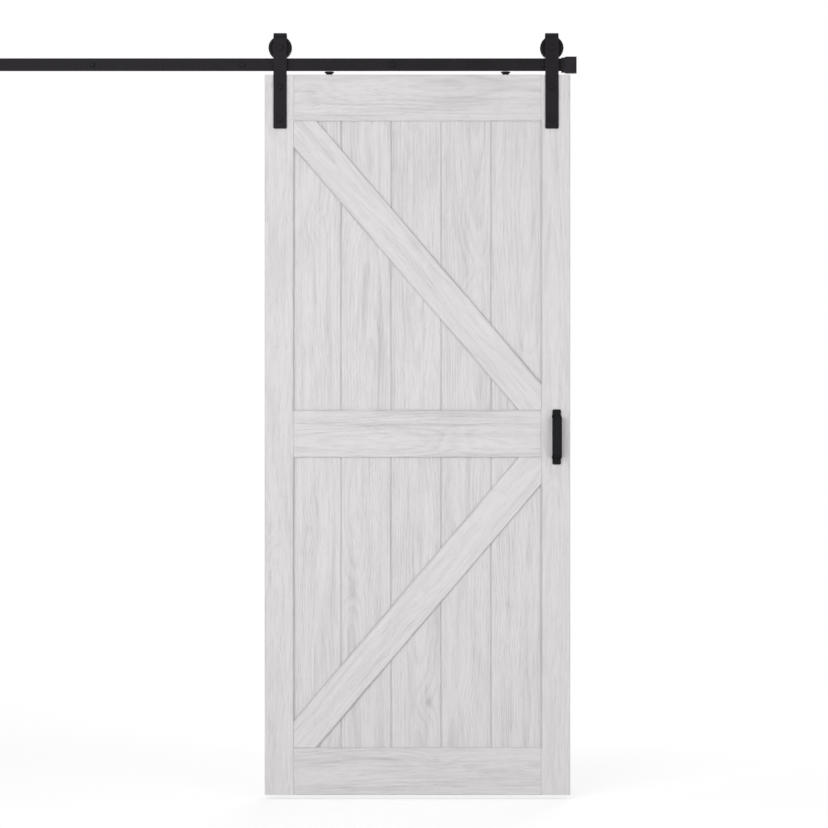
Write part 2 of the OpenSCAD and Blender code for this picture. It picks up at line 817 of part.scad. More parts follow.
// Snap ring with an open gap and eyes left plain, seated in the hub's groove beside the bearing
module retaining_ring(x) {
  r_out = bearing_d / 2 + retaining_depth - race_clear;
  gap_w = 2 * retaining_w;
  color(bright_steel) along_y(x, rail_y - bearing_w / 2 - retaining_t, axle_z) difference() {
    cylinder(r = r_out, h = retaining_t - race_clear);
    translate([0, 0, -eps]) cylinder(r = r_out - retaining_w, h = retaining_t);
    translate([-gap_w / 2, 0, -eps]) cube([gap_w, r_out, retaining_t]);
  }
}

// Half section of a wheel as (radius, depth): grooved rim, thin web and bored hub
module wheel_section() {
  h = wheel_w / 2;
  rim = wheel_d / 2;
  c = wheel_chamfer;
  floor_w = rail_t / 2 + groove_side_clear;
  mouth_w = floor_w + groove_flare;
  seat_r = bearing_d / 2 + bearing_clear;
  hub_r = seat_r + hub_wall;
  web_h = h - web_recess;
  rim_r = rim - rim_t;
  slope = web_recess / 2;
  ring_r = bearing_d / 2 + retaining_depth;
  ring_z = -bearing_w / 2 - retaining_t;
  shoulder_r = seat_r - ring_land;
  polygon([
    [seat_r, -h], [hub_r, -h], [hub_r + slope, -web_h], [rim_r - slope, -web_h], [rim_r, -h],
    [rim - c, -h], [rim, c - h], [rim, -mouth_w], [roll_r, -floor_w],
    [roll_r, floor_w], [rim, mouth_w], [rim, h - c], [rim - c, h],
    [rim_r, h], [rim_r - slope, web_h], [hub_r + slope, web_h], [hub_r, h],
    [shoulder_r, h], [shoulder_r, bearing_w / 2], [seat_r, bearing_w / 2],
    [seat_r, -bearing_w / 2], [ring_r, -bearing_w / 2], [ring_r, ring_z], [seat_r, ring_z]
  ]);
}

module wheel(x) {
  color(black_steel) along_y(x, rail_y, axle_z) rotate_extrude() wheel_section();
}

// JUMP GUARDS

module jump_screw_places() {
  for (x = jump_xs) translate([x, door_mid_y, -rail_h / 2 - jump_gap]) children();
}

module jump_guard(x) {
  foot_h = door_gap - jump_gap - jump_t;
  color(black_steel) difference() {
    translate([x, door_mid_y, door_top]) {
      cylinder(d1 = jump_foot_d, d2 = jump_neck_d, h = foot_h);
      translate([0, 0, foot_h - eps]) cylinder(d = jump_d, h = jump_t + eps);
    }
    jump_screw_places() flat_screw_hole(jump_screw_d, jump_screw_l);
  }
}

module jump_guard_screws() {
  color(black_steel) jump_screw_places() flat_screw(jump_screw_d, jump_screw_l);
}

// PULL HANDLE

// Upper half of the handle's bent strip as (Y, Z): grip, two bends, riser and foot
module handle_half_profile() {
  t = handle_t;
  b = handle_bend;
  riser_z = grip_l / 2;
  front_y = door_front_y - handle_reach;
  translate([front_y, 0]) square([t, riser_z - t - b]);
  translate([front_y + t + b, riser_z - t - b]) ring_quarter(b, t + b, -1, 1);
  translate([front_y + t + b, riser_z - t]) square([handle_reach - 2 * (t + b), t]);
  translate([door_front_y - t - b, riser_z + b]) ring_quarter(b, t + b, 1, -1);
  translate([door_front_y - t, riser_z + b]) square([t, foot_l - b]);
}

module pull_handle() {
  z = door_bottom + handle_z;
  color(black_steel) difference() {
    intersection() {
      translate([0, 0, z]) section_along_x(handle_x, max(grip_w, foot_w)) {
        handle_half_profile();
        mirror([0, 1]) handle_half_profile();
      }
      outline_along_y(door_front_y - handle_reach, door_front_y) translate([handle_x, z]) {
        rounded_rect(-foot_w / 2, -handle_l / 2, foot_w / 2, handle_l / 2, foot_corner);
        translate([-grip_w / 2, -grip_l / 2 - handle_bend]) square([grip_w, grip_l + 2 * handle_bend]);
      }
    }
    handle_screw_places() flat_screw_hole(handle_screw_d, handle_screw_l);
    for (side = [-1, 1])
      translate([handle_x + side * grip_w / 2, door_front_y - handle_reach, z - grip_l / 2])
        edge_cut(grip_chamfer, grip_l);
  }
}

module handle_screw_places() {
  centre_z = door_bottom + handle_z;
  for (dx = [-handle_screw_pitch / 2, handle_screw_pitch / 2], dz = [-handle_screw_dz, handle_screw_dz])
    translate([handle_x + dx, door_front_y - handle_t, centre_z + dz]) rotate([90, 0, 0]) children();
}

module handle_screws() {
  color(black_steel) handle_screw_places() flat_screw(handle_screw_d, handle_screw_l);
}

rail();
standoff(1);  // standoff_1
standoff(2);  // standoff_2
standoff(3);  // standoff_3
standoff(4);  // standoff_4
standoff(5);  // standoff_5
wall_bolts();
wall_washers();
stop_block(0);  // left_stop_block
stop_block(1);  // right_stop_block
stop_bumper(0);  // left_stop_bumper
stop_bumper(1);  // right_stop_bumper
stop_set_screws();
left_stile();
right_stile();
top_rail();
middle_rail();
bottom_rail();
frame_dowels();
plank(upper_panel, 1);  // upper_plank_1
plank(upper_panel, 2);  // upper_plank_2
plank(upper_panel, 3);  // upper_plank_3
plank(upper_panel, 4);  // upper_plank_4
plank(upper_panel, 5);  // upper_plank_5
plank(lower_panel, 1);  // lower_plank_1
plank(lower_panel, 2);  // lower_plank_2
plank(lower_panel, 3);  // lower_plank_3
plank(lower_panel, 4);  // lower_plank_4
plank(lower_panel, 5);  // lower_plank_5
brace(upper_panel, -1);  // upper_brace
brace(lower_panel, 1);  // lower_brace
pull_handle();
handle_screws();
hanger_strap(left_hanger_x);  // left_hanger_strap
hanger_strap(right_hanger_x);  // right_hanger_strap
strap_bolts();
strap_washers();
strap_nuts();
axle_bolt(left_hanger_x);  // left_axle_bolt
axle_bolt(right_hanger_x);  // right_axle_bolt
axle_nut(left_hanger_x);  // left_axle_nut
axle_nut(right_hanger_x);  // right_axle_nut
axle_bushes(left_hanger_x);  // left_axle_bushes
axle_bushes(right_hanger_x);  // right_axle_bushes
bearing_inner_ring(left_hanger_x);  // left_bearing_inner_ring
bearing_inner_ring(right_hanger_x);  // right_bearing_inner_ring
jump_guard(jump_xs[0]);  // left_jump_guard
jump_guard(jump_xs[1]);  // right_jump_guard
jump_guard_screws();
wheel(left_hanger_x);  // left_wheel
bearing_outer_ring(left_hanger_x);  // left_bearing_outer_ring
bearing_balls(left_hanger_x);  // left_bearing_balls
retaining_ring(left_hanger_x);  // left_retaining_ring
wheel(right_hanger_x);  // right_wheel
bearing_outer_ring(right_hanger_x);  // right_bearing_outer_ring
bearing_balls(right_hanger_x);  // right_bearing_balls
retaining_ring(right_hanger_x);  // right_retaining_ring
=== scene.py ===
"""Sliding barn door: finishes, bent and turned fittings, studio and camera.

Laid out as an add-on and run as a script. Lengths are metres in the CAD model's frame: X along the rail,
Y to the back, Z up, with the origin on the mounting plane at the middle wall bolt.
"""
import math

import bpy
import numpy as np
from bpy.props import FloatProperty, FloatVectorProperty, IntProperty, PointerProperty
from bpy.types import Operator, Panel, PropertyGroup
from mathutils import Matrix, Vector


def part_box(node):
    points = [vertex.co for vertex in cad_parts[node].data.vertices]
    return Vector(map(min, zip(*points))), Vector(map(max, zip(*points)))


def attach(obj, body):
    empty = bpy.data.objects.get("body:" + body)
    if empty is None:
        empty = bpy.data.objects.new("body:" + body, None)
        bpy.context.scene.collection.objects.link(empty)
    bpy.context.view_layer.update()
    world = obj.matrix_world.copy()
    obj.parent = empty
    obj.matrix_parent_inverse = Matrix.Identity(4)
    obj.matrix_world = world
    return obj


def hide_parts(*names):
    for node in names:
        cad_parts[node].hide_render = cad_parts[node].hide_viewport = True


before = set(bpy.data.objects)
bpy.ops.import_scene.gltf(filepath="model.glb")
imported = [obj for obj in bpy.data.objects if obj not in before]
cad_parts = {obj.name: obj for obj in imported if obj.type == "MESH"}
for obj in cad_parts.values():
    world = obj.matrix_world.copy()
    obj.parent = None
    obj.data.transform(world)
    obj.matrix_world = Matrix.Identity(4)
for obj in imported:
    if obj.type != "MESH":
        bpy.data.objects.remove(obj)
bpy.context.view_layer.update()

bl_info = {
    "name": "Sliding barn door",
    "version": (1, 0, 0),
    "blender": (4, 5, 0),
    "location": "3D View > Sidebar > Barn door",
    "description": "Finishes, bent and turned fittings and the studio of a sliding barn door",
    "category": "Object",
}

PLANKS = 5
WALL_BOLTS = 5
SIDES = ("left", "right")
GROUND_PARTS = ("bearing_inner_ring", "bearing_outer_ring", "bearing_balls", "retaining_ring", "axle_bushes")

# Seeds of the boards' grain: the frame's first, and how far planks and braces lie from it
FRAME_SEED = 11
PLANK_SEEDS = 20
BRACE_SEEDS = 70

# How dark the shade painted along the boards' edges is, for the shade in joints, grooves and at the recessed
# panels' steps; faint on the door's outer edges
OUTER_EDGE_SHADE = 0.04
STILE_EDGE_SHADE = 0.31
RAIL_EDGE_SHADE = 0.14
PLANK_EDGE_SHADE = 0.08
BRACE_EDGE_SHADE = 0.30

# Share of a stile's painted edge shade that is left where a rail or brace meets it, and the length over which
# it fades
JOINT_SHARE = 0.18
JOINT_FADE = 0.008

# Share of the grain that shows through the thicker wash on the stiles
STILE_GRAIN = 0.65

# Detail and roughness of noise
STREAKY = (2.5, 0.55)
FINE = (2.0, 0.6)
CLOUDY = (3.0, 0.6)

# Sizes of the wood's features across, into and along the grain, and how far apart boards lie in the noise
SMUDGE_SIZE = (0.028, 0.05, 0.30)
CLOUD_SIZE = (0.12, 0.12, 0.40)
SWAY_SIZE = (0.16, 0.16, 0.55)
WOBBLE_SIZE = (0.012, 0.012, 0.06)
STREAK_DEPTH = 0.03
FIBRE_LENGTH = 0.10
PORE_LENGTH = 0.050
NOISE_SPREAD = 40.0

# Values of noise, or of a ring's phase, between which a feature rises
STREAK_RISE = (0.40, 0.80)
GROOVE_RISE = (0.46, 0.78)
SMUDGE_RISE = (0.38, 0.82)
PORE_RISE = (0.54, 0.72)
LATE_RISE = (0.35, 0.90)
LATE_END = (0.92, 1.0)
GRAIN_RISE = (-0.10, 1.0)

# Knots: furthest place as a share of the half width and along the grain, radii, stretch and darkness
KNOT_ACROSS = 0.55
KNOT_ALONG = 0.38
KNOT_RADII = (0.006, 0.011)
KNOT_STRETCH = 1.5
KNOT_DARK = (0.0, 0.14, 0.22)

# Growth rings: the pith's furthest place as a share of the half width, its depth, how fast a knot's swirl
# falls off, and how far sway, swirl and fibres push a ring
PITH_ACROSS = 0.5
PITH_DEPTHS = (0.030, 0.060)
SWIRL_FALL = 0.06
SWAY_PUSH = 0.045
SWIRL_PUSH = 0.016
FIBRE_PUSH = 0.0015

# How much each feature darkens the wash, and how far boards differ
STREAK_DARK = 0.20
SMUDGE_DARK = 0.24
LATE_DARK = 0.20
FIBRE_DARK = 0.14
PORE_DARK = 0.11
BOARD_DARK = 0.03

# How much clouds and late wood roughen the wash, and the shares of the painted edge shade's width over which
# it wobbles and fades
CLOUD_ROUGH = 0.20
LATE_ROUGH = 0.10
EDGE_SHADE_WOBBLE = 0.6
EDGE_SHADE_FADE = 0.7

# How deep each feature lies, as a share of the relief
LATE_DEEP = 0.40
FIBRE_DEEP = 0.45
PORE_DEEP = 0.60
STREAK_DEEP = 0.30
KNOT_DEEP = 0.30

# Sizes of the other finishes' features, and the width of the rail's rubbed edges
FLECK_SIZE = (0.006, 0.0008, 0.0008)
BEECH_CLOUD = (0.03, 0.004, 0.004)
COAT_CLOUD = (0.06, 0.06, 0.06)
SCUFF_SIZE = (0.006, 0.006, 0.006)
RING_SIZE = (0.0005, 0.0009, 1.0)
TURNED_CLOUD = (0.012, 0.012, 0.012)
RUBBER_GRAIN = (0.0007, 0.0007, 0.0007)
BLOOM_SIZE = (0.010, 0.010, 0.010)
RAIL_RUB = 0.0014

# Tones of those features, and of the coat on handle and stop blocks, as shares of the finish's colour
FLECK_TONE = 0.72
COAT_CLOUD_TONE = 1.5
TURNED_TONE = 0.72
BLOOM_TONE = 1.9
HANDLE_TONE = 0.5
STOP_TONE = 1.6

# Specular level of satin black
SATIN = 0.12

# Bolts: length and depth of the thread, and length of the point
WALL_CUT = 0.0011
WALL_POINT = 0.006
STRAP_THREAD = 0.022
STRAP_CUT = 0.0006
STRAP_POINT = 0.001
AXLE_THREAD = 0.016
AXLE_CUT = 0.0007
AXLE_POINT = 0.00125

# Wood screws: rim, cone and recess as shares of the diameter, thread and blunt tip as shares of the radius,
# and where the face starts and the sides and ends of the recess's bars rise, as shares of the head
SCREW_RIM = 0.10
SCREW_CONE = 0.60
SCREW_RECESS = 0.30
SCREW_CUT = 0.28
SCREW_TIP = 0.02
SCREW_POLE = 0.04
BAR_SIDES = (0.10, 0.16)
BAR_ENDS = (0.46, 0.62)

# Length over which the handle's foot swells to its grip
SWELL = 0.004

# Rows and columns of points; a thread's rows are those of one turn
STRAP_BEND_ROWS = 25
HANDLE_BEND_ROWS = 13
CORNER_ROWS = 9
EDGE_ROWS = 4
SWELL_ROWS = 7
THREAD_ROWS = 8
FACE_ROWS = 26
EDGE_COLUMNS = 5

# Angle from which an edge is sharp
SHARP = 0.6

# Place and side of each lamp; its power is the studio's property of that name
LAMPS = {
    "key": ((-1.2, -4.2, -0.25), 2.6),
    "fill": ((2.8, -3.6, -0.8), 2.4),
    "back": ((1.4, 4.2, 0.2), 2.6),
}


# PROPERTIES

def setting(kind, **more):
    """A maker of one kind of property, which takes its name, description and default."""

    def make(name, description, default):
        return kind(name=name, description=description, default=default, **more)

    return make


length = setting(FloatProperty, unit="LENGTH", precision=5)
tint = setting(FloatVectorProperty, size=3, min=0.0, max=1.0, subtype="COLOR")
share = setting(FloatProperty, min=0.0, max=1.0, subtype="FACTOR")
strength = setting(FloatProperty, min=0.0)
count = setting(IntProperty, min=12, max=96)


class WoodLook(PropertyGroup):
    """Whitewashed boards"""

    wash: tint("Wash", "Colour of the whitewash where it lies thick", (0.801, 0.777, 0.785))
    grain: tint("Grain", "Colour where dark grain shows through the wash", (0.410, 0.395, 0.400))
    beech: tint("Beech", "Colour of the plain dowels", (0.570, 0.400, 0.230))
    ring_gap: length("Ring gap", "Distance between two growth rings", 0.0065)
    streak_width: length("Streak width", "Width of the long streaks", 0.016)
    streak_length: length("Streak length", "Length of the long streaks", 0.45)
    fibre_width: length("Fibre width", "Width of the brushed fibres", 0.0012)
    pore_width: length("Pore width", "Width of the short open pores", 0.0007)
    relief: length("Relief", "Depth of the brushed grain", 0.0005)
    roughness: share("Roughness", "Mean roughness of the wash", 0.58)
    # Width of the shade painted along a board's edges
    edge_shade_width: length("Arris", "Width of the thin wash along a board's edges", 0.0060)
    brace_width: length("Brace width", "Width of the diagonal boards", 0.105)


class FittingLook(PropertyGroup):
    """Steel, nylon and rubber"""

    coat: tint("Coat", "Colour of the black powder coat", (0.0098, 0.0080, 0.0106))
    rubbed: tint("Rubbed edge", "Colour of the coat where edges are rubbed", (0.055, 0.053, 0.056))
    ground: tint("Ground steel", "Colour of the bearings and bushes", (0.540, 0.545, 0.555))
    nylon: tint("Nylon", "Colour of the wheels", (0.0085, 0.0075, 0.0090))
    rubber: tint("Rubber", "Colour of the stops' bumpers", (0.0085, 0.0080, 0.0085))
    coat_roughness: share("Coat roughness", "Mean roughness of the powder coat", 0.48)
    peel: length("Coat texture", "Size of the powder coat's fine texture", 0.0014)


class FittingSizes(PropertyGroup):
    """Sizes of the bent and turned fittings"""

    strip: length("Strip thickness", "Thickness of the hanger straps and of the handle", 0.005)
    strip_edge: length("Strip edge", "Radius along the edges of the bent strips", 0.0011)
    strap_corner: length("Strap corner", "Corner radius at the ends of a strap", 0.004)
    strap_back_reach: length("Back leg", "How far a strap's back leg reaches below the axle", 0.020)
    grip_length: length("Grip length", "Length of the handle's grip", 0.121)
    foot_width: length("Foot width", "Width of the handle's feet", 0.0255)
    foot_corner: length("Foot corner", "Corner radius of the handle's feet", 0.005)
    handle_bend: length("Handle bend", "Radius inside the handle's bends", 0.004)
    small_bolt: length("Bolt diameter", "Diameter of the wall and strap bolts", 0.008)
    small_flats: length("Bolt flats", "Width across flats of the wall and strap bolts", 0.013)
    small_head: length("Bolt head", "Height of the wall and strap bolts' heads", 0.0053)
    axle: length("Axle diameter", "Diameter of the axle bolts", 0.010)
    axle_flats: length("Axle flats", "Width across flats of the axle bolts", 0.017)
    axle_head: length("Axle head", "Height of the axle bolts' heads", 0.0064)
    wall_tail: length("Wall thread", "Length of the wall bolts' coarse thread", 0.050)
    wall_pitch: length("Coarse pitch", "Pitch of the wall bolts' thread", 0.0032)
    bolt_pitch: length("Fine pitch", "Pitch of the strap and axle bolts' thread", 0.00125)
    screw_dome: length("Screw dome", "Rise of the wood screws' heads", 0.0006)
    handle_screw: length("Handle screw", "Diameter of the handle's wood screws", 0.0045)
    guard_screw: length("Guard screw", "Diameter of the jump guards' wood screws", 0.005)
    screw_pitch: length("Screw pitch", "Pitch of the wood screws' thread", 0.0022)
    bolt_gap: length("Bolt gap", "Gap round a strap bolt in the strap's hole", 0.0002)
    axle_gap: length("Axle gap", "Gap round an axle bolt in the strap's holes", 0.00005)
    screw_gap: length("Screw gap", "Gap round a screw in the handle's hole", 0.0001)
    round_steps: count("Round steps", "Points round a bolt", 48)


class StudioLook(PropertyGroup):
    """Camera, floor and lights"""

    view_x: length("View X", "Place of the view's middle along the rail", 0.5135)
    view_z: length("View Z", "Height of the view's middle", -1.0462)
    view_width: length("View width", "Width of the view at the door's front", 2.4764)
    distance: length("Distance", "Distance from the camera to the door's front", 9.0)
    floor_gap: length("Floor gap", "Gap between the door and the floor", 0.012)
    floor_size: length("Floor size", "Side of the square floor", 60.0)
    floor: tint("Floor", "Colour of the pale floor", (0.80, 0.80, 0.80))
    floor_glow: share("Floor glow", "Light that the floor adds near the door, to look white", 0.43)
    floor_near: length("Fade start", "Distance at which the floor starts to fade to white", 1.5)
    floor_far: length("Fade end", "Distance at which the floor is plain white", 4.0)
    ambient: strength("Ambient", "Light from all round", 0.46)
    key: strength("Key", "Power of the large front lamp", 75.0)
    fill: strength("Fill", "Power of the lamp on the right", 28.0)
    back: strength("Back", "Power of the lamp behind the door", 60.0)


# SHADER MATHS

def maths(operation):
    """An operator and its reflected form, each of which adds one Math node."""
    return (
        lambda self, other: self.math(operation, self, other),
        lambda self, other: self.math(operation, other, self),
    )


class Wire:
    """An output socket of a node; arithmetic on it adds Math nodes, and an index gives a sister output."""

    def __init__(self, finish, socket):
        self.finish = finish
        self.socket = socket

    def __getitem__(self, output):
        return Wire(self.finish, self.socket.node.outputs[output])

    def math(self, operation, *terms):
        return self.finish.node("ShaderNodeMath", {"operation": operation}, dict(enumerate(terms)))

    def __abs__(self):
        return self.math("ABSOLUTE", self)

    __add__, __radd__ = maths("ADD")
    __sub__, __rsub__ = maths("SUBTRACT")
    __mul__, __rmul__ = maths("MULTIPLY")
    __truediv__, __rtruediv__ = maths("DIVIDE")
    __pow__, __rpow__ = maths("POWER")


class Finish:
    """A node tree being wired: node() adds any node, and the rest name the ones that finishes share."""

    def __init__(self, owner):
        owner.use_nodes = True
        self.owner = owner
        self.tree = owner.node_tree
        self.tree.nodes.clear()

    def node(self, kind, settings, sockets, output=0):
        """Adds a node: its settings first, then the values or links of its sockets; gives one output."""
        made = self.tree.nodes.new(kind)
        for key, value in settings.items():
            setattr(made, key, value)
        for key, value in sockets.items():
            if isinstance(value, Wire):
                self.tree.links.new(value.socket, made.inputs[key])
            else:
                made.inputs[key].default_value = value
        return Wire(self, made.outputs[output]) if made.outputs else None

    def place(self, centre=(0, 0, 0), turn=(0, 0, 0)):
        """Object coordinates in metres, centred and turned by a Mapping node."""
        point = self.node("ShaderNodeTexCoord", {}, {}, "Object")
        sockets = {"Vector": point, "Location": centre, "Rotation": turn}
        return self.node("ShaderNodeMapping", {"vector_type": "TEXTURE"}, sockets)

    def noise(self, point, size, detail=2.0, roughness=0.5):
        """Noise whose features have the given size along the three axes; its mean is one half."""
        cells = self.node("ShaderNodeVectorMath", {"operation": "DIVIDE"}, {0: point, 1: size})
        sockets = {"Vector": cells, "Scale": 1.0, "Detail": detail, "Roughness": roughness}
        return self.node("ShaderNodeTexNoise", {}, sockets)

    def band(self, value, low, high):
        """Rises smoothly from 0 at low to 1 at high, and is level outside."""
        sockets = {"Value": value, "From Min": low, "From Max": high}
        return self.node("ShaderNodeMapRange", {"interpolation_type": "SMOOTHSTEP"}, sockets)

    def mix(self, factor, first, second):
        """Colour between two colours; a plain one gets its alpha."""
        first, second = (c if isinstance(c, Wire) else (*c, 1.0) for c in (first, second))
        return self.node("ShaderNodeMix", {"data_type": "RGBA"}, {0: factor, 6: first, 7: second}, 2)

    def surface(self, colour, roughness, height, depth, **constants):
        """Ends the tree in one Principled BSDF, bumped by a height times a depth."""
        bump = self.node("ShaderNodeBump", {}, {"Strength": 1.0, "Distance": depth, "Height": height})
        sockets = {"Base Color": colour, "Roughness": roughness, "Normal": bump, **constants}
        shader = self.node("ShaderNodeBsdfPrincipled", {}, sockets)
        self.node("ShaderNodeOutputMaterial", {}, {"Surface": shader})
        return self.owner


def finish(name):
    """A new material's node tree."""
    return Finish(bpy.data.materials.new(name))


# FINISHES

def dress(material, *nodes):
    """Gives CAD nodes a finish through their material slots."""
    for node in nodes:
        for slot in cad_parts[node].material_slots:
            slot.material = material


def toned(colour, tone):
    """A colour times a tone."""
    return tuple(tone * c for c in colour)


def whitewash(node, centre, half, turn, edges, seed, look, shown=1.0, runs=()):
    """Dresses a board, sawn flat, in whitewash whose grain runs along its own Z after a turn about Y.

    Growth rings are cylinders about a pith line behind the board: their phase is the distance from that
    line, pushed about by slow noise and by a knot, over the ring gap. Streaks, fibres, clouds and short pores
    are noise that is stretched along the grain. Shade is painted into the wash along the board's edges, at
    the given half width from the middle, for the shade in joints, grooves and recesses; the two edges say how
    dark the painted shade on the lower and the upper one is. Where runs are given, as lowest and highest
    place along the grain, only those stretches of the edges get the painted shade. The share of the grain
    that is shown is less than 1 where the wash lies thick.
    """
    draw = np.random.default_rng(seed)
    f = finish("wash_" + node)
    grain = f.place(centre, (0.0, turn, 0.0))
    axes = f.node("ShaderNodeSeparateXYZ", {}, {0: grain})
    across, depth, along = axes["X"], axes["Y"], axes["Z"]
    shift = draw.uniform(-NOISE_SPREAD, NOISE_SPREAD, 3)
    shifted = f.node("ShaderNodeVectorMath", {"operation": "ADD"}, {0: grain, 1: shift})

    streak = f.noise(shifted, (look.streak_width, STREAK_DEPTH, look.streak_length), *STREAKY)
    smudge = f.noise(shifted, SMUDGE_SIZE, *STREAKY)
    fibre = f.noise(shifted, (look.fibre_width, look.fibre_width, FIBRE_LENGTH), *FINE)
    pore = f.band(f.noise(shifted, (look.pore_width, look.pore_width, PORE_LENGTH), *FINE), *PORE_RISE)
    cloud = f.noise(shifted, CLOUD_SIZE)
    sway = f.noise(shifted, SWAY_SIZE, detail=1.5)

    knot_across = draw.uniform(-KNOT_ACROSS, KNOT_ACROSS) * half
    knot_along = draw.uniform(-KNOT_ALONG, KNOT_ALONG)
    knot_radius = draw.uniform(*KNOT_RADII)
    knot_dark = draw.choice(KNOT_DARK)
    knot_x = (across - knot_across) / knot_radius
    knot_z = (along - knot_along) / (knot_radius * KNOT_STRETCH)
    knot_reach = knot_x * knot_x + knot_z * knot_z
    knot = 1.0 / (1.0 + knot_reach * knot_reach)
    swirl = 1.0 / (1.0 + knot_reach * SWIRL_FALL)

    pith_x = across - draw.uniform(-PITH_ACROSS, PITH_ACROSS) * half
    pith_y = depth - draw.uniform(*PITH_DEPTHS)
    radius = (pith_x * pith_x + pith_y * pith_y) ** 0.5
    phase = (radius + sway * SWAY_PUSH + swirl * SWIRL_PUSH + fibre * FIBRE_PUSH) / look.ring_gap
    ring = phase.math("FRACT", phase)
    late = f.band(ring, *LATE_RISE) * (1.0 - f.band(ring, *LATE_END))

    # Painted shade along the board's edges, for the shade in joints, grooves and recesses; with runs, it
    # stays only on those stretches
    wobble = f.noise(shifted, WOBBLE_SIZE) * (look.edge_shade_width * EDGE_SHADE_WOBBLE)
    inner = half - look.edge_shade_width * EDGE_SHADE_FADE
    lower = f.band(wobble - across, inner, half) * edges[0]
    upper = f.band(wobble + across, inner, half) * edges[1]
    painted_edge_shade = lower + upper
    if runs:
        places = [(abs(along - (low + high) / 2), (high - low) / 2) for low, high in runs]
        free = sum(1.0 - f.band(place, reach, reach + JOINT_FADE) for place, reach in places)
        painted_edge_shade = painted_edge_shade * (free * (1.0 - JOINT_SHARE) + JOINT_SHARE)

    dark = f.band(streak, *STREAK_RISE) * STREAK_DARK + f.band(smudge, *SMUDGE_RISE) * SMUDGE_DARK
    dark = dark + draw.uniform(-BOARD_DARK, BOARD_DARK) + late * cloud * LATE_DARK
    dark = dark + (fibre - 0.5) * FIBRE_DARK + pore * PORE_DARK + knot * knot_dark
    dark = dark * shown + painted_edge_shade
    colour = f.mix(f.band(dark, *GRAIN_RISE), look.wash, look.grain)
    rough = look.roughness + (cloud - 0.5) * CLOUD_ROUGH + late * LATE_ROUGH
    height = 1.0 - late * LATE_DEEP - fibre * FIBRE_DEEP - pore * PORE_DEEP
    height = height - f.band(streak, *GROOVE_RISE) * STREAK_DEEP - knot * KNOT_DEEP
    dress(f.surface(colour, rough, height, look.relief), node)


def beech(name, look):
    """Plain beech with short flecks along the dowels' axis, X."""
    f = finish(name)
    point = f.place()
    fleck = f.band(f.noise(point, FLECK_SIZE), 0.5, 0.75)
    cloud = f.noise(point, BEECH_CLOUD)
    colour = f.mix(fleck * 0.6 + cloud * 0.25, look.beech, toned(look.beech, FLECK_TONE))
    return f.surface(colour, 0.55 + cloud * 0.15, 1.0 - fleck, depth=0.0001)


def powder_coat(name, look, rubbed=None, tone=1.0):
    """Black powder coat with a fine pebbled texture and faint clouds, its colour times a tone.

    Where rubbed is given, it marks worn edges from 0 to 1.
    """
    f = finish(name)
    point = f.place()
    peel = f.noise(point, (look.peel,) * 3, roughness=0.55)
    cloud = f.noise(point, COAT_CLOUD, *CLOUDY)
    coat = toned(look.coat, tone)
    colour = f.mix(f.band(cloud, 0.35, 0.70), coat, toned(coat, COAT_CLOUD_TONE))
    rough = look.coat_roughness + (cloud - 0.5) * 0.25 + (peel - 0.5) * 0.15
    if rubbed:
        scuffs = f.noise(point, SCUFF_SIZE, detail=3.0, roughness=0.65)
        worn = rubbed(f, point) * f.band(scuffs, 0.42, 0.66)
        colour = f.mix(worn * 0.55, colour, look.rubbed)
        rough = rough - worn * 0.12
    return f.surface(colour, rough, peel, depth=0.00006, **{"Specular IOR Level": SATIN})


def edge_attribute(f, point):
    """Wear that a bent strip stores along its edges."""
    return f.node("ShaderNodeAttribute", {"attribute_name": "edge"}, {}, "Fac")


def rail_edges(f, point):
    """Wear near the rail's long edges, from the distance to its faces in Y and Z."""
    low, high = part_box("rail")
    centre, half = (low + high) / 2, (high - low) / 2
    axes = f.node("ShaderNodeSeparateXYZ", {}, {0: point})
    near_y = f.band(abs(axes["Y"] - centre.y), half.y - RAIL_RUB, half.y)
    near_z = f.band(abs(axes["Z"] - centre.z), half.z - RAIL_RUB, half.z)
    return near_y * near_z


def turned(name, colour, centre, metallic, roughness, ring_depth, specular=0.5):
    """Lathe-turned part about the Y axis through a centre: fine rings in height and roughness over clouds."""
    f = finish(name)
    point = f.place(centre)
    axes = f.node("ShaderNodeSeparateXYZ", {}, {0: point})
    radius = (axes["X"] * axes["X"] + axes["Z"] * axes["Z"]) ** 0.5
    groove = f.node("ShaderNodeCombineXYZ", {}, {"X": radius, "Y": axes["Y"]})
    rings = f.noise(groove, RING_SIZE, *FINE)
    cloud = f.noise(point, TURNED_CLOUD, *CLOUDY)
    dark = f.band(cloud, 0.35, 0.75) * 0.6 + (rings - 0.5) * 0.5
    tone = f.mix(dark, colour, toned(colour, TURNED_TONE))
    rough = roughness + (rings - 0.5) * 0.16 + (cloud - 0.5) * 0.14
    constants = {"Metallic": metallic, "Specular IOR Level": specular}
    return f.surface(tone, rough, rings, ring_depth, **constants)


def moulded_rubber(name, look):
    """Dull rubber with a fine grain and a faint bloom."""
    f = finish(name)
    point = f.place()
    grain = f.noise(point, RUBBER_GRAIN, *FINE)
    bloom = f.band(f.noise(point, BLOOM_SIZE, *CLOUDY), 0.40, 0.72)
    colour = f.mix(bloom, look.rubber, toned(look.rubber, BLOOM_TONE))
    rough = 0.78 + (grain - 0.5) * 0.20 + bloom * 0.08
    return f.surface(colour, rough, grain, depth=0.00008, **{"Specular IOR Level": 0.3})


# SURFACES

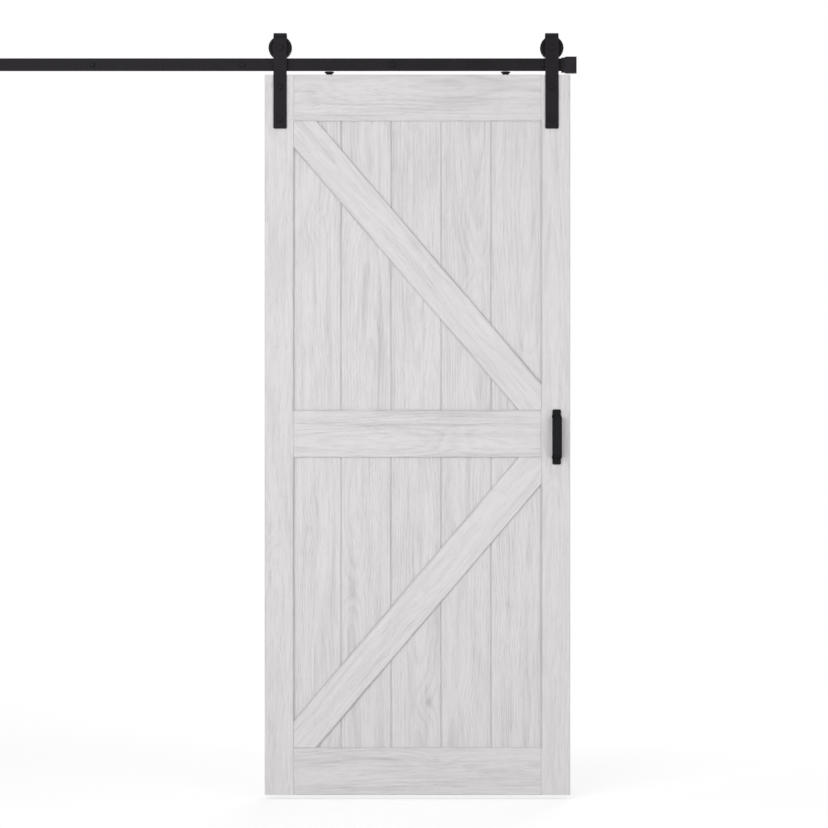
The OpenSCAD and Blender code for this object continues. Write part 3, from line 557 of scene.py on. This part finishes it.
def closed_tubes(tubes):
    """Points and faces of closed tubes, each a grid of rows by columns that is closed round its columns.

    Quads join neighbouring rows and one face closes each end. A tube whose signed volume, the sum of its
    points' triple products, comes out negative has its columns turned round, so faces point outwards.
    """
    points, faces, first = [], [], 0
    for grid in tubes:
        rows, columns = grid.shape[:2]
        here = grid - grid.mean(axis=(0, 1))
        beside = np.roll(here, -1, axis=1)
        halves = ((beside[:-1], beside[1:]), (beside[1:], here[1:]))
        volume = sum(np.einsum("rci,rci->", here[:-1], np.cross(b, c)) for b, c in halves)
        if volume < 0:
            grid = grid[:, ::-1]
        index = first + np.arange(rows * columns).reshape(rows, columns)
        after = np.roll(index, -1, axis=1)
        quads = np.stack([index[:-1], after[:-1], after[1:], index[1:]], axis=-1).reshape(-1, 4)
        faces += quads.tolist() + [index[0, ::-1].tolist(), index[-1].tolist()]
        points.append(grid.reshape(-1, 3))
        first += rows * columns
    return np.concatenate(points).tolist(), faces


def bent_path(corners, radius, steps):
    """Polyline in Y and Z whose inner corners are arcs of one radius.

    Each arc starts where its tangent length, radius times the tangent of half the turn, lies before the
    corner, and turns evenly. Gives length along the path, the points, and the heading angle at each.
    """
    corners = np.asarray(corners, float)
    runs = np.diff(corners, axis=0)
    headings = np.unwrap(np.arctan2(runs[:, 1], runs[:, 0]))
    points, angles = [corners[:1]], [headings[:1]]
    for corner, before, after in zip(corners[1:-1], headings[:-1], headings[1:]):
        turn = after - before
        start = corner - radius * np.tan(abs(turn) / 2) * np.array([np.cos(before), np.sin(before)])
        side = np.sign(turn) * radius
        centre = start + side * np.array([-np.sin(before), np.cos(before)])
        arc = before + turn * np.linspace(0.0, 1.0, steps)
        points.append(centre + side * np.stack([np.sin(arc), -np.cos(arc)], axis=1))
        angles.append(arc)
    points = np.concatenate([*points, corners[-1:]])
    angles = np.concatenate([*angles, headings[-1:]])
    along = np.concatenate([[0.0], np.cumsum(np.linalg.norm(np.diff(points, axis=0), axis=1))])
    return along, points, angles


def corner_inset(distance, radius):
    """How far a round corner draws a side in, at a distance from the end: r - sqrt(r^2 - (r - d)^2)."""
    left = np.clip(radius - distance, 0.0, radius)
    return radius - np.sqrt(radius**2 - left**2)


def bent_strip(x, path, half_width, half_thick, edge, corner, extra_rows=()):
    """Flat strip with rounded edges, carried along a path in Y and Z; also gives each point's edge wear.

    A row's section is a rectangle of half widths w and t with corners of the edge radius. w follows the
    half_width function of the length along the path. Near both ends, w draws in by the strip's corner radius
    and t by its edge radius. Wear is 1 in the middle of each rounded edge and 0 on the flats.
    """
    along, points, angles = path
    total = along[-1]
    ends = np.concatenate([
        radius * (1.0 - np.cos(np.linspace(0.0, np.pi / 2, steps)))
        for radius, steps in ((corner, CORNER_ROWS), (edge, EDGE_ROWS))
    ])
    rows = np.unique(np.round(np.concatenate([along, ends, total - ends, extra_rows]), 6))
    rows = np.clip(rows, 0.0, total)
    y = np.interp(rows, along, points[:, 0])[:, None]
    z = np.interp(rows, along, points[:, 1])[:, None]
    angle = np.interp(rows, along, angles)[:, None]
    to_end = np.minimum(rows, total - rows)
    w = (half_width(rows) - corner_inset(to_end, corner))[:, None]
    t = (half_thick - corner_inset(to_end, edge))[:, None]

    arc = np.linspace(0.0, np.pi / 2, EDGE_COLUMNS)
    phi = (np.arange(4)[:, None] * np.pi / 2 + arc).ravel()
    sign_u = np.repeat([1.0, -1.0, -1.0, 1.0], arc.size)
    sign_v = np.repeat([1.0, 1.0, -1.0, -1.0], arc.size)
    u = sign_u * (w - edge) + edge * np.cos(phi)
    v = sign_v * (t - edge) + edge * np.sin(phi)
    grid = np.stack([x + u, y - v * np.sin(angle), z + v * np.cos(angle)], axis=-1)
    wear = np.broadcast_to(np.tile(np.sin(2 * arc), 4), u.shape)
    return grid, wear


def smooth(s):
    """Smooth step from 0 to 1: three s squared minus two s cubed."""
    return s * s * (3 - 2 * s)


def valley(along, angle, pitch):
    """1 in a thread's valley, 0 on its crest: a rounded saw of length over pitch plus angle over a turn."""
    return 1.0 - smooth(np.abs(np.mod(along[:, None] / pitch + angle / (2 * np.pi), 1.0) * 2 - 1))


def circle(steps):
    """Angles of evenly spaced points round a circle."""
    return np.linspace(0.0, 2 * np.pi, steps, endpoint=False)


def about_y(x, z, y, radius, angle):
    """Points about a line along Y, from a column of places along it, the radii and the angles."""
    return np.stack(np.broadcast_arrays(x + radius * np.cos(angle), y, z + radius * np.sin(angle)), axis=-1)


def bored(x, z, profile, steps):
    """Closed tube about a line along Y, from pairs of a place along Y and a radius."""
    y, radius = np.array(profile).T[:, :, None]
    return about_y(x, z, y, radius, circle(steps))


def bolt(x, z, head_y, sizes, shank, thread, pitch, depth, point):
    """Hex bolt about a line along Y, as one surface of angle and length.

    The radius is the smaller of a limit that follows the length, for the chamfered head, shank, thread and
    tip, and of the hexagon, half the flats over the cosine of the angle from the nearest flat's middle. It
    drops by the depth in the thread's valleys, which wind right-handed because X, Z and Y make a left-handed
    frame.
    """
    diameter, flats, head, steps = sizes
    r, corner = diameter / 2, flats / math.sqrt(3)
    bevel = corner - flats / 2
    turns = np.arange(0.0, thread - point, pitch / THREAD_ROWS)
    start = head_y + head + shank - thread
    tip = head_y + head + shank
    tip_r = r / 3 if point > r else r - point
    # The head's face, chamfer, side and underside, then the shank with its thread, and the tip
    y = np.concatenate([
        [head_y, head_y, head_y + bevel * 0.5, head_y + bevel, head_y + head, head_y + head],
        start + turns, [tip - point, tip],
    ])
    limit = np.concatenate([
        [flats * 0.22, flats * 0.48, flats / 2 + bevel * 0.6, corner, corner, r],
        np.full(turns.size, r), [r - depth * 0.5, tip_r],
    ])
    cut = np.concatenate([np.zeros(6), np.clip(turns / pitch, 0.0, 1.0), [0.0, 0.0]])
    angle = circle(steps)
    hexagon = flats / 2 / np.cos(np.mod(angle, np.pi / 3) - np.pi / 6)
    radius = np.minimum(limit[:, None], hexagon) - depth * cut[:, None] * valley(y - start, angle, pitch)
    return about_y(x, z, y[:, None], radius, angle)


def wood_screw(top, diameter, reach, sizes, upright=False):
    """Countersunk wood screw with a cross recess and a thread, as one surface of angle and length.

    The head's face is a dome over the radius, lowered by the recess: two crossed bars whose sides and ends
    rise smoothly, so a point lies deep where it is inside either bar. Below its rim follow the cone and a
    plain shank to a third of the reach, then the thread. The body's radius is a limit that falls evenly to a
    point over the last diameter, less a share of it in the thread's valleys. A screw points to the back, or
    down where it is upright.
    """
    dome, pitch, steps = sizes.screw_dome, sizes.screw_pitch, sizes.round_steps
    angle = circle(steps)
    face = np.linspace(SCREW_POLE, 1.0, FACE_ROWS)[:, None]
    u, v = face * np.cos(angle), face * np.sin(angle)

    def inside(value, low, high):
        return smooth(np.clip((high - np.abs(value)) / (high - low), 0.0, 1.0))

    first, second = (inside(a, *BAR_SIDES) * inside(b, *BAR_ENDS) for a, b in ((u, v), (v, u)))
    bars = np.maximum(first, second)
    face_down = dome * face**2 - dome + bars * SCREW_RECESS * diameter * (1.0 - 0.5 * face)

    turns = np.arange(reach / 3, reach, pitch / THREAD_ROWS)
    body = np.concatenate([[SCREW_CONE * diameter], turns, [reach]])
    limit = 0.5 * np.clip((reach - body) / diameter, SCREW_TIP, 1.0)[:, None]
    cut = np.clip((body - reach / 3) / pitch, 0.0, 1.0)[:, None]
    thread = limit * (1.0 - SCREW_CUT * cut * valley(body, angle, pitch))

    share_out = np.concatenate([np.broadcast_to(face, u.shape), np.ones((1, steps)), thread])
    body_down = np.concatenate([[SCREW_RIM * diameter], body])[:, None]
    down = np.concatenate([face_down, np.broadcast_to(body_down, (body_down.size, steps))])
    screw = about_y(0.0, 0.0, down, diameter * share_out, angle)
    if upright:
        screw = screw[..., [0, 2, 1]] * (1, 1, -1)
    return screw + top


def new_mesh(name, points, faces):
    """A mesh of points and faces."""
    mesh = bpy.data.meshes.new(name)
    mesh.from_pydata(points, [], faces)
    return mesh


def put(name, data):
    """An object in the scene that holds a mesh, a lamp or a camera."""
    made = bpy.data.objects.new(name, data)
    bpy.context.scene.collection.objects.link(made)
    return made


def bake(piece, kind, **settings):
    """Runs one modifier on a piece and keeps the result as its mesh."""
    modifier = piece.modifiers.new(kind, kind)
    for key, value in settings.items():
        setattr(modifier, key, value)
    depsgraph = bpy.context.evaluated_depsgraph_get()
    result = bpy.data.meshes.new_from_object(
        piece.evaluated_get(depsgraph), preserve_all_data_layers=True, depsgraph=depsgraph
    )
    before = piece.data
    piece.modifiers.clear()
    piece.data = result
    bpy.data.meshes.remove(before)
    result.name = piece.name


def drill(piece, holes):
    """Cuts holes, given as closed tubes, out of a piece by an exact Boolean difference."""
    mesh = new_mesh("drill", *closed_tubes(holes))
    cutter = put("drill", mesh)
    bake(piece, "BOOLEAN", operation="DIFFERENCE", solver="EXACT", object=cutter)
    bpy.data.objects.remove(cutter)
    bpy.data.meshes.remove(mesh)


def add_piece(name, body, material, tubes, replaced, wear=None, holes=()):
    """Makes one object of closed tubes, less any holes, which rides on a body and stands for CAD nodes."""
    mesh = new_mesh(name, *closed_tubes(tubes))
    if wear is not None:
        layer = mesh.attributes.new("edge", "FLOAT", "POINT")
        layer.data.foreach_set("value", wear.ravel().astype(np.float32))
    mesh.materials.append(material)
    piece = put(name, mesh)
    if holes:
        drill(piece, holes)
    piece.data.shade_smooth()
    piece.data.set_sharp_from_angle(angle=SHARP)
    if holes:
        bake(piece, "WEIGHTED_NORMAL", keep_sharp=True)
    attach(piece, body)
    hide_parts(*replaced)


# PLACES THAT THE FRAME GIVES

def middle(node):
    """Middle of a CAD node's box."""
    low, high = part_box(node)
    return np.array((low + high) / 2)


def strap_bolt_heights(sizes):
    """Heights of the lower and upper strap bolts, half a head's flats inside the box of all four."""
    low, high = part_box("strap_bolts")
    return low.z + sizes.small_flats / 2, high.z - sizes.small_flats / 2


def panels():
    """Left and right edge of the panels, and each panel's lower and upper edge, from the frame boards."""
    left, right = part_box("left_stile")[1].x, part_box("right_stile")[0].x
    return left, right, {
        "upper": (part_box("middle_rail")[1].z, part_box("top_rail")[0].z),
        "lower": (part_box("bottom_rail")[1].z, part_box("middle_rail")[0].z),
    }


def free_edges(stile, brace_width):
    """Stretches of a stile's inner edge that only planks meet, as lowest and highest Z.

    Each panel's brace runs from corner to corner, so its end covers half its width over the cosine of its
    slope: at the outer corner of a panel on the left stile, and at the inner one on the right stile.
    """
    left, right, heights = panels()
    stretches = []
    for panel, (low, high) in heights.items():
        covered = brace_width / 2 * math.hypot(right - left, high - low) / (right - left)
        at_top = (panel == "upper") == (stile == "left_stile")
        stretches.append((low, high - covered) if at_top else (low + covered, high))
    return stretches


# OPERATORS

class BARN_OT_frame_boards(Operator):
    """Whitewash the stiles and rails of the door's frame, and finish the dowels that join them"""

    bl_idname = "barn.frame_boards"
    bl_label = "Frame boards"

    def execute(self, context):
        look = context.scene.barn_wood
        # Darkness of the shade painted along each board's two edges: strong at the recessed panels' steps,
        # faint on the door's outer edges
        boards = {
            "left_stile": (OUTER_EDGE_SHADE, STILE_EDGE_SHADE), "right_stile": (STILE_EDGE_SHADE, OUTER_EDGE_SHADE),
            "top_rail": (OUTER_EDGE_SHADE, RAIL_EDGE_SHADE), "middle_rail": (RAIL_EDGE_SHADE, RAIL_EDGE_SHADE),
            "bottom_rail": (RAIL_EDGE_SHADE, OUTER_EDGE_SHADE),
        }
        for i, (node, edges) in enumerate(boards.items()):
            low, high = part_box(node)
            centre = middle(node)
            if node.endswith("stile"):
                half, turn, shown = (high.x - low.x) / 2, 0.0, STILE_GRAIN
                # Stretches of the inner edge that keep the full painted shade, where the recessed planks meet
                # the stile
                runs = [(a - centre[2], b - centre[2]) for a, b in free_edges(node, look.brace_width)]
            else:
                half, turn, shown, runs = (high.z - low.z) / 2, math.pi / 2, 1.0, ()
            whitewash(node, centre, half, turn, edges, FRAME_SEED + i, look, shown, runs)
        dress(beech("plain_beech", look), "frame_dowels")
        return {"FINISHED"}


class BARN_OT_planks(Operator):
    """Whitewash the planks of both panels, each with a grain of its own"""

    bl_idname = "barn.planks"
    bl_label = "Planks"

    def execute(self, context):
        look = context.scene.barn_wood
        # Painted shade along both edges of each plank, for the shade in the grooves between planks and under
        # the frame's step
        edges = (PLANK_EDGE_SHADE, PLANK_EDGE_SHADE)
        left, right, heights = panels()
        for p, panel in enumerate(heights):
            joints = [left, *(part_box(f"{panel}_plank_{k + 1}")[0].x for k in range(1, PLANKS)), right]
            for k in range(PLANKS):
                node = f"{panel}_plank_{k + 1}"
                centre, half = middle(node), (joints[k + 1] - joints[k]) / 2
                centre[0] = joints[k] + half
                seed = FRAME_SEED + PLANK_SEEDS * (p + 1) + k
                whitewash(node, centre, half, 0.0, edges, seed, look)
        return {"FINISHED"}


class BARN_OT_braces(Operator):
    """Whitewash the two diagonal boards, with the grain along each"""

    bl_idname = "barn.braces"
    bl_label = "Braces"

    def execute(self, context):
        look = context.scene.barn_wood
        left, right, heights = panels()
        for i, (panel, rise) in enumerate((("upper", -1), ("lower", 1))):
            low, high = heights[panel]
            slope = math.atan2(rise * (high - low), right - left)
            node = panel + "_brace"
            # Painted shade along both edges of each brace, for the shade along its raised sides
            turn, edges, seed = math.pi / 2 - slope, (BRACE_EDGE_SHADE, BRACE_EDGE_SHADE), FRAME_SEED + BRACE_SEEDS + i
            whitewash(node, middle(node), look.brace_width / 2, turn, edges, seed, look)
        return {"FINISHED"}


class BARN_OT_track(Operator):
    """Coat the rail, standoffs, washers, stop blocks and their screws, and finish the bumpers"""

    bl_idname = "barn.track"
    bl_label = "Track"

    def execute(self, context):
        look = context.scene.barn_fittings
        dress(powder_coat("coat_rail", look, rail_edges), "rail")
        standoffs = [f"standoff_{i + 1}" for i in range(WALL_BOLTS)]
        dress(powder_coat("coat_track", look), *standoffs, "wall_washers", "stop_set_screws")
        dress(powder_coat("coat_stops", look, tone=STOP_TONE), "left_stop_block", "right_stop_block")
        dress(moulded_rubber("bumper_rubber", look), "left_stop_bumper", "right_stop_bumper")
        return {"FINISHED"}


class BARN_OT_hangers(Operator):
    """Bend the two hanger straps over the wheels, with rounded edges and holes for their bolts"""

    bl_idname = "barn.hangers"
    bl_label = "Hanger straps"

    def execute(self, context):
        look, sizes = context.scene.barn_fittings, context.scene.barn_sizes
        coat = powder_coat("coat_straps", look, edge_attribute)
        half = sizes.strip / 2
        for side in SIDES:
            node = side + "_hanger_strap"
            low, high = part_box(node)
            x, _, axle_z = middle(side + "_axle_bolt")
            back_end = axle_z - sizes.strap_back_reach
            front, rear, crown = low.y + half, high.y - half, high.z - half
            corners = [(front, low.z), (front, crown), (rear, crown), (rear, back_end)]
            path = bent_path(corners, (rear - front) / 2, STRAP_BEND_ROWS)
            half_width = (high.x - low.x) / 2
            strip, wear = bent_strip(
                (low.x + high.x) / 2, path, lambda s: np.full(s.size, half_width), half,
                sizes.strip_edge, sizes.strap_corner
            )
            before, behind, inside = low.y - half, high.y + half, low.y + sizes.strip + half
            bolt_r, axle_r = sizes.small_bolt / 2 + sizes.bolt_gap, sizes.axle / 2 + sizes.axle_gap
            bores = [(z, inside, bolt_r) for z in strap_bolt_heights(sizes)] + [(axle_z, behind, axle_r)]
            holes = [bored(x, z, [(before, r), (end, r)], sizes.round_steps) for z, end, r in bores]
            add_piece(side + "_strap", "door", coat, [strip], [node], wear, holes)
        return {"FINISHED"}


class BARN_OT_bolts(Operator):
    """Turn the wall, strap and axle bolts with their threads, and coat nuts and washers"""

    bl_idname = "barn.bolts"
    bl_label = "Bolts"

    def execute(self, context):
        look, sizes = context.scene.barn_fittings, context.scene.barn_sizes
        coat = powder_coat("coat_bolts", look)
        small = (sizes.small_bolt, sizes.small_flats, sizes.small_head, sizes.round_steps)
        large = (sizes.axle, sizes.axle_flats, sizes.axle_head, sizes.round_steps)
        axles = {side + "_axle_bolt": middle(side + "_axle_bolt")[::2] for side in SIDES}

        wall = [(middle(f"standoff_{i + 1}")[0], 0.0) for i in range(WALL_BOLTS)]
        thread = (sizes.wall_tail, sizes.wall_pitch, WALL_CUT, WALL_POINT)
        self.turn("wall_bolts", "track", coat, wall, small, thread)

        strap = [(x, z) for x, _ in axles.values() for z in strap_bolt_heights(sizes)]
        thread = (STRAP_THREAD, sizes.bolt_pitch, STRAP_CUT, STRAP_POINT)
        self.turn("strap_bolts", "door", coat, strap, small, thread)

        thread = (AXLE_THREAD, sizes.bolt_pitch, AXLE_CUT, AXLE_POINT)
        for node, place in axles.items():
            self.turn(node, "door", coat, [place], large, thread)
        dress(coat, "strap_washers", "strap_nuts", "left_axle_nut", "right_axle_nut")
        return {"FINISHED"}

    def turn(self, node, body, coat, places, sizes, thread):
        """Bolts at pairs of X and Z that stand for a CAD node, as long as its box."""
        low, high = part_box(node)
        shank = high.y - low.y - sizes[2]
        bolts = [bolt(x, z, low.y, sizes, shank, *thread) for x, z in places]
        add_piece(node + "_turned", body, coat, bolts, [node])


class BARN_OT_wheels(Operator):
    """Finish the wheels, bearings, bushes and retaining rings"""

    bl_idname = "barn.wheels"
    bl_label = "Wheels"

    def execute(self, context):
        look = context.scene.barn_fittings
        for side in SIDES:
            centre = middle(side + "_wheel")
            nylon = turned(
                side + "_turned_nylon", look.nylon, centre,
                metallic=0.0, roughness=0.42, ring_depth=0.00003, specular=SATIN
            )
            steel = turned(
                side + "_ground_steel", look.ground, centre, metallic=1.0, roughness=0.30, ring_depth=0.00001
            )
            dress(nylon, side + "_wheel")
            dress(steel, *(f"{side}_{part}" for part in GROUND_PARTS))
        return {"FINISHED"}


class BARN_OT_handle(Operator):
    """Bend the pull handle from a strip with rounded edges, drill it and set its four screws"""

    bl_idname = "barn.handle"
    bl_label = "Pull handle"

    def execute(self, context):
        look, sizes = context.scene.barn_fittings, context.scene.barn_sizes
        low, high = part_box("pull_handle")
        x, _, z = middle("pull_handle")
        half = sizes.strip / 2
        foot, front = high.y - half, low.y + half
        riser = sizes.grip_length / 2 - half
        upper = [(foot, high.z), (foot, z + riser), (front, z + riser)]
        lower = [(front, z - riser), (foot, z - riser), (foot, low.z)]
        path = bent_path(upper + lower, sizes.handle_bend + half, HANDLE_BEND_ROWS)
        total = path[0][-1]
        grip_half, foot_half = (high.x - low.x) / 2, sizes.foot_width / 2
        foot_end = high.z - z - sizes.grip_length / 2 - sizes.handle_bend

        def half_width(s):
            """Foot's half width that swells to the grip's over a short length past the foot's end."""
            t = np.clip((np.minimum(s, total - s) - foot_end + SWELL / 2) / SWELL, 0.0, 1.0)
            return foot_half + (grip_half - foot_half) * smooth(t)

        swell = foot_end + SWELL * np.linspace(-0.5, 0.5, SWELL_ROWS)
        rows = np.concatenate([swell, total - swell])
        strip, wear = bent_strip(x, path, half_width, half, sizes.strip_edge, sizes.foot_corner, rows)
        coat = powder_coat("coat_handle", look, edge_attribute, HANDLE_TONE)

        low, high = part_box("handle_screws")
        d = sizes.handle_screw
        places = [(sx, sz) for sx in (low.x + d, high.x - d) for sz in (low.z + d, high.z - d)]
        head, shank = d + sizes.screw_gap, d / 2 + sizes.screw_gap
        profile = [
            (low.y - half, head), (low.y + SCREW_RIM * d, head), (low.y + SCREW_CONE * d, shank),
            (low.y + sizes.strip + half, shank),
        ]
        holes = [bored(sx, sz, profile, sizes.round_steps) for sx, sz in places]
        add_piece("pull_handle_bent", "door", coat, [strip], ["pull_handle"], wear, holes)

        screws = [wood_screw((sx, low.y, sz), d, high.y - low.y, sizes) for sx, sz in places]
        coat = powder_coat("coat_screws", look)
        add_piece("handle_screw_set", "door", coat, screws, ["handle_screws"])
        return {"FINISHED"}


class BARN_OT_guards(Operator):
    """Coat the jump guards on the door's top and set their screws"""

    bl_idname = "barn.guards"
    bl_label = "Jump guards"

    def execute(self, context):
        look, sizes = context.scene.barn_fittings, context.scene.barn_sizes
        coat = powder_coat("coat_guards", look)
        dress(coat, "left_jump_guard", "right_jump_guard")
        low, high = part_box("jump_guard_screws")
        tops = [(*middle(side + "_jump_guard")[:2], high.z) for side in SIDES]
        screws = [wood_screw(top, sizes.guard_screw, high.z - low.z, sizes, True) for top in tops]
        add_piece("guard_screw_set", "door", coat, screws, ["jump_guard_screws"])
        return {"FINISHED"}


class BARN_OT_studio(Operator):
    """Lay the pale floor, light the studio and set up the camera in front of the door"""

    bl_idname = "barn.studio"
    bl_label = "Studio"

    def execute(self, context):
        look = context.scene.barn_studio
        self.floor(look)
        self.surroundings(context, look)
        self.lamps(look)
        self.camera(context, look)
        context.scene.view_settings.view_transform = "Standard"
        return {"FINISHED"}

    def seen(self, f):
        """1 on rays from the camera, off gloss or through glass, which see the white surroundings."""
        ray = f.node("ShaderNodeLightPath", {}, {}, "Is Camera Ray")
        shiny = ray.math("MAXIMUM", ray["Is Glossy Ray"], ray["Is Transmission Ray"])
        return ray.math("MAXIMUM", ray, shiny)

    def floor(self, look):
        """Square sheet below the door; near it, a faint glow makes it white where no shadow falls.

        Further out, where the lamps no longer reach, a smooth step of the distance fades it to plain white.
        """
        half, z = look.floor_size / 2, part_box("left_stile")[0].z - look.floor_gap
        corners = [(-half, -half, z), (half, -half, z), (half, half, z), (-half, half, z)]
        mesh = new_mesh("floor", corners, [(0, 1, 2, 3)])
        f = finish("pale_floor")
        matte = f.node("ShaderNodeBsdfDiffuse", {}, {"Color": (*look.floor, 1.0)})
        glow = f.node("ShaderNodeEmission", {}, {"Strength": look.floor_glow})
        near = f.node("ShaderNodeAddShader", {}, {0: matte, 1: glow})
        far = f.node("ShaderNodeEmission", {}, {"Strength": 1.0})
        place = f.place(middle("bottom_rail"))
        distance = f.node("ShaderNodeVectorMath", {"operation": "LENGTH"}, {0: place}, "Value")
        fade = f.band(distance, look.floor_near, look.floor_far)
        bright = f.node("ShaderNodeMixShader", {}, {0: fade, 1: near, 2: far})
        shown = f.node("ShaderNodeMixShader", {}, {0: self.seen(f), 1: matte, 2: bright})
        f.node("ShaderNodeOutputMaterial", {}, {"Surface": shown})
        mesh.materials.append(f.owner)
        floor = put("floor", mesh)

    def surroundings(self, context, look):
        """Even light from all round, seen as white."""
        context.scene.world = bpy.data.worlds.new("studio")
        f = Finish(context.scene.world)
        white = (1.0, 1.0, 1.0, 1.0)
        light = f.node("ShaderNodeBackground", {}, {"Color": white, "Strength": look.ambient})
        backdrop = f.node("ShaderNodeBackground", {}, {"Color": white, "Strength": 1.0})
        shown = f.node("ShaderNodeMixShader", {}, {0: self.seen(f), 1: light, 2: backdrop})
        f.node("ShaderNodeOutputWorld", {}, {"Surface": shown})

    def lamps(self, look):
        """Large soft lamps aimed at the door's middle."""
        target = Vector(middle("middle_rail"))
        for name, (place, size) in LAMPS.items():
            lamp = bpy.data.lights.new(name, "AREA")
            lamp.shape, lamp.size, lamp.energy = "SQUARE", size, getattr(look, name)
            holder = put(name, lamp)
            holder.location = place
            holder.rotation_euler = (target - holder.location).to_track_quat("-Z", "Y").to_euler()

    def camera(self, context, look):
        """Level camera straight in front; the lens gives the view's width at the door's front."""
        lens = bpy.data.cameras.new("view")
        lens.lens = lens.sensor_width * look.distance / look.view_width
        lens.clip_end = 200.0
        camera = put("view", lens)
        camera.location = (look.view_x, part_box("left_stile")[0].y - look.distance, look.view_z)
        camera.rotation_euler = (math.pi / 2, 0.0, 0.0)
        context.scene.camera = camera


class BARN_PT_door(Panel):
    """Lists the steps that dress the door"""

    bl_label = "Barn door"
    bl_space_type = "VIEW_3D"
    bl_region_type = "UI"
    bl_category = "Barn door"

    def draw(self, context):
        for step in OPERATORS:
            self.layout.operator(step.bl_idname)


GROUPS = {
    "barn_wood": WoodLook, "barn_fittings": FittingLook, "barn_sizes": FittingSizes, "barn_studio": StudioLook
}
OPERATORS = (
    BARN_OT_studio, BARN_OT_frame_boards, BARN_OT_planks, BARN_OT_braces, BARN_OT_track, BARN_OT_hangers,
    BARN_OT_bolts, BARN_OT_wheels, BARN_OT_handle, BARN_OT_guards,
)
CLASSES = (*GROUPS.values(), *OPERATORS, BARN_PT_door)


def register():
    for cls in CLASSES:
        bpy.utils.register_class(cls)
    for name, group in GROUPS.items():
        setattr(bpy.types.Scene, name, PointerProperty(type=group))


def unregister():
    for name in GROUPS:
        delattr(bpy.types.Scene, name)
    for cls in reversed(CLASSES):
        bpy.utils.unregister_class(cls)


def main():
    register()
    for step in OPERATORS:
        getattr(bpy.ops.barn, step.bl_idname.partition(".")[2])()


if __name__ == "__main__":
    main()
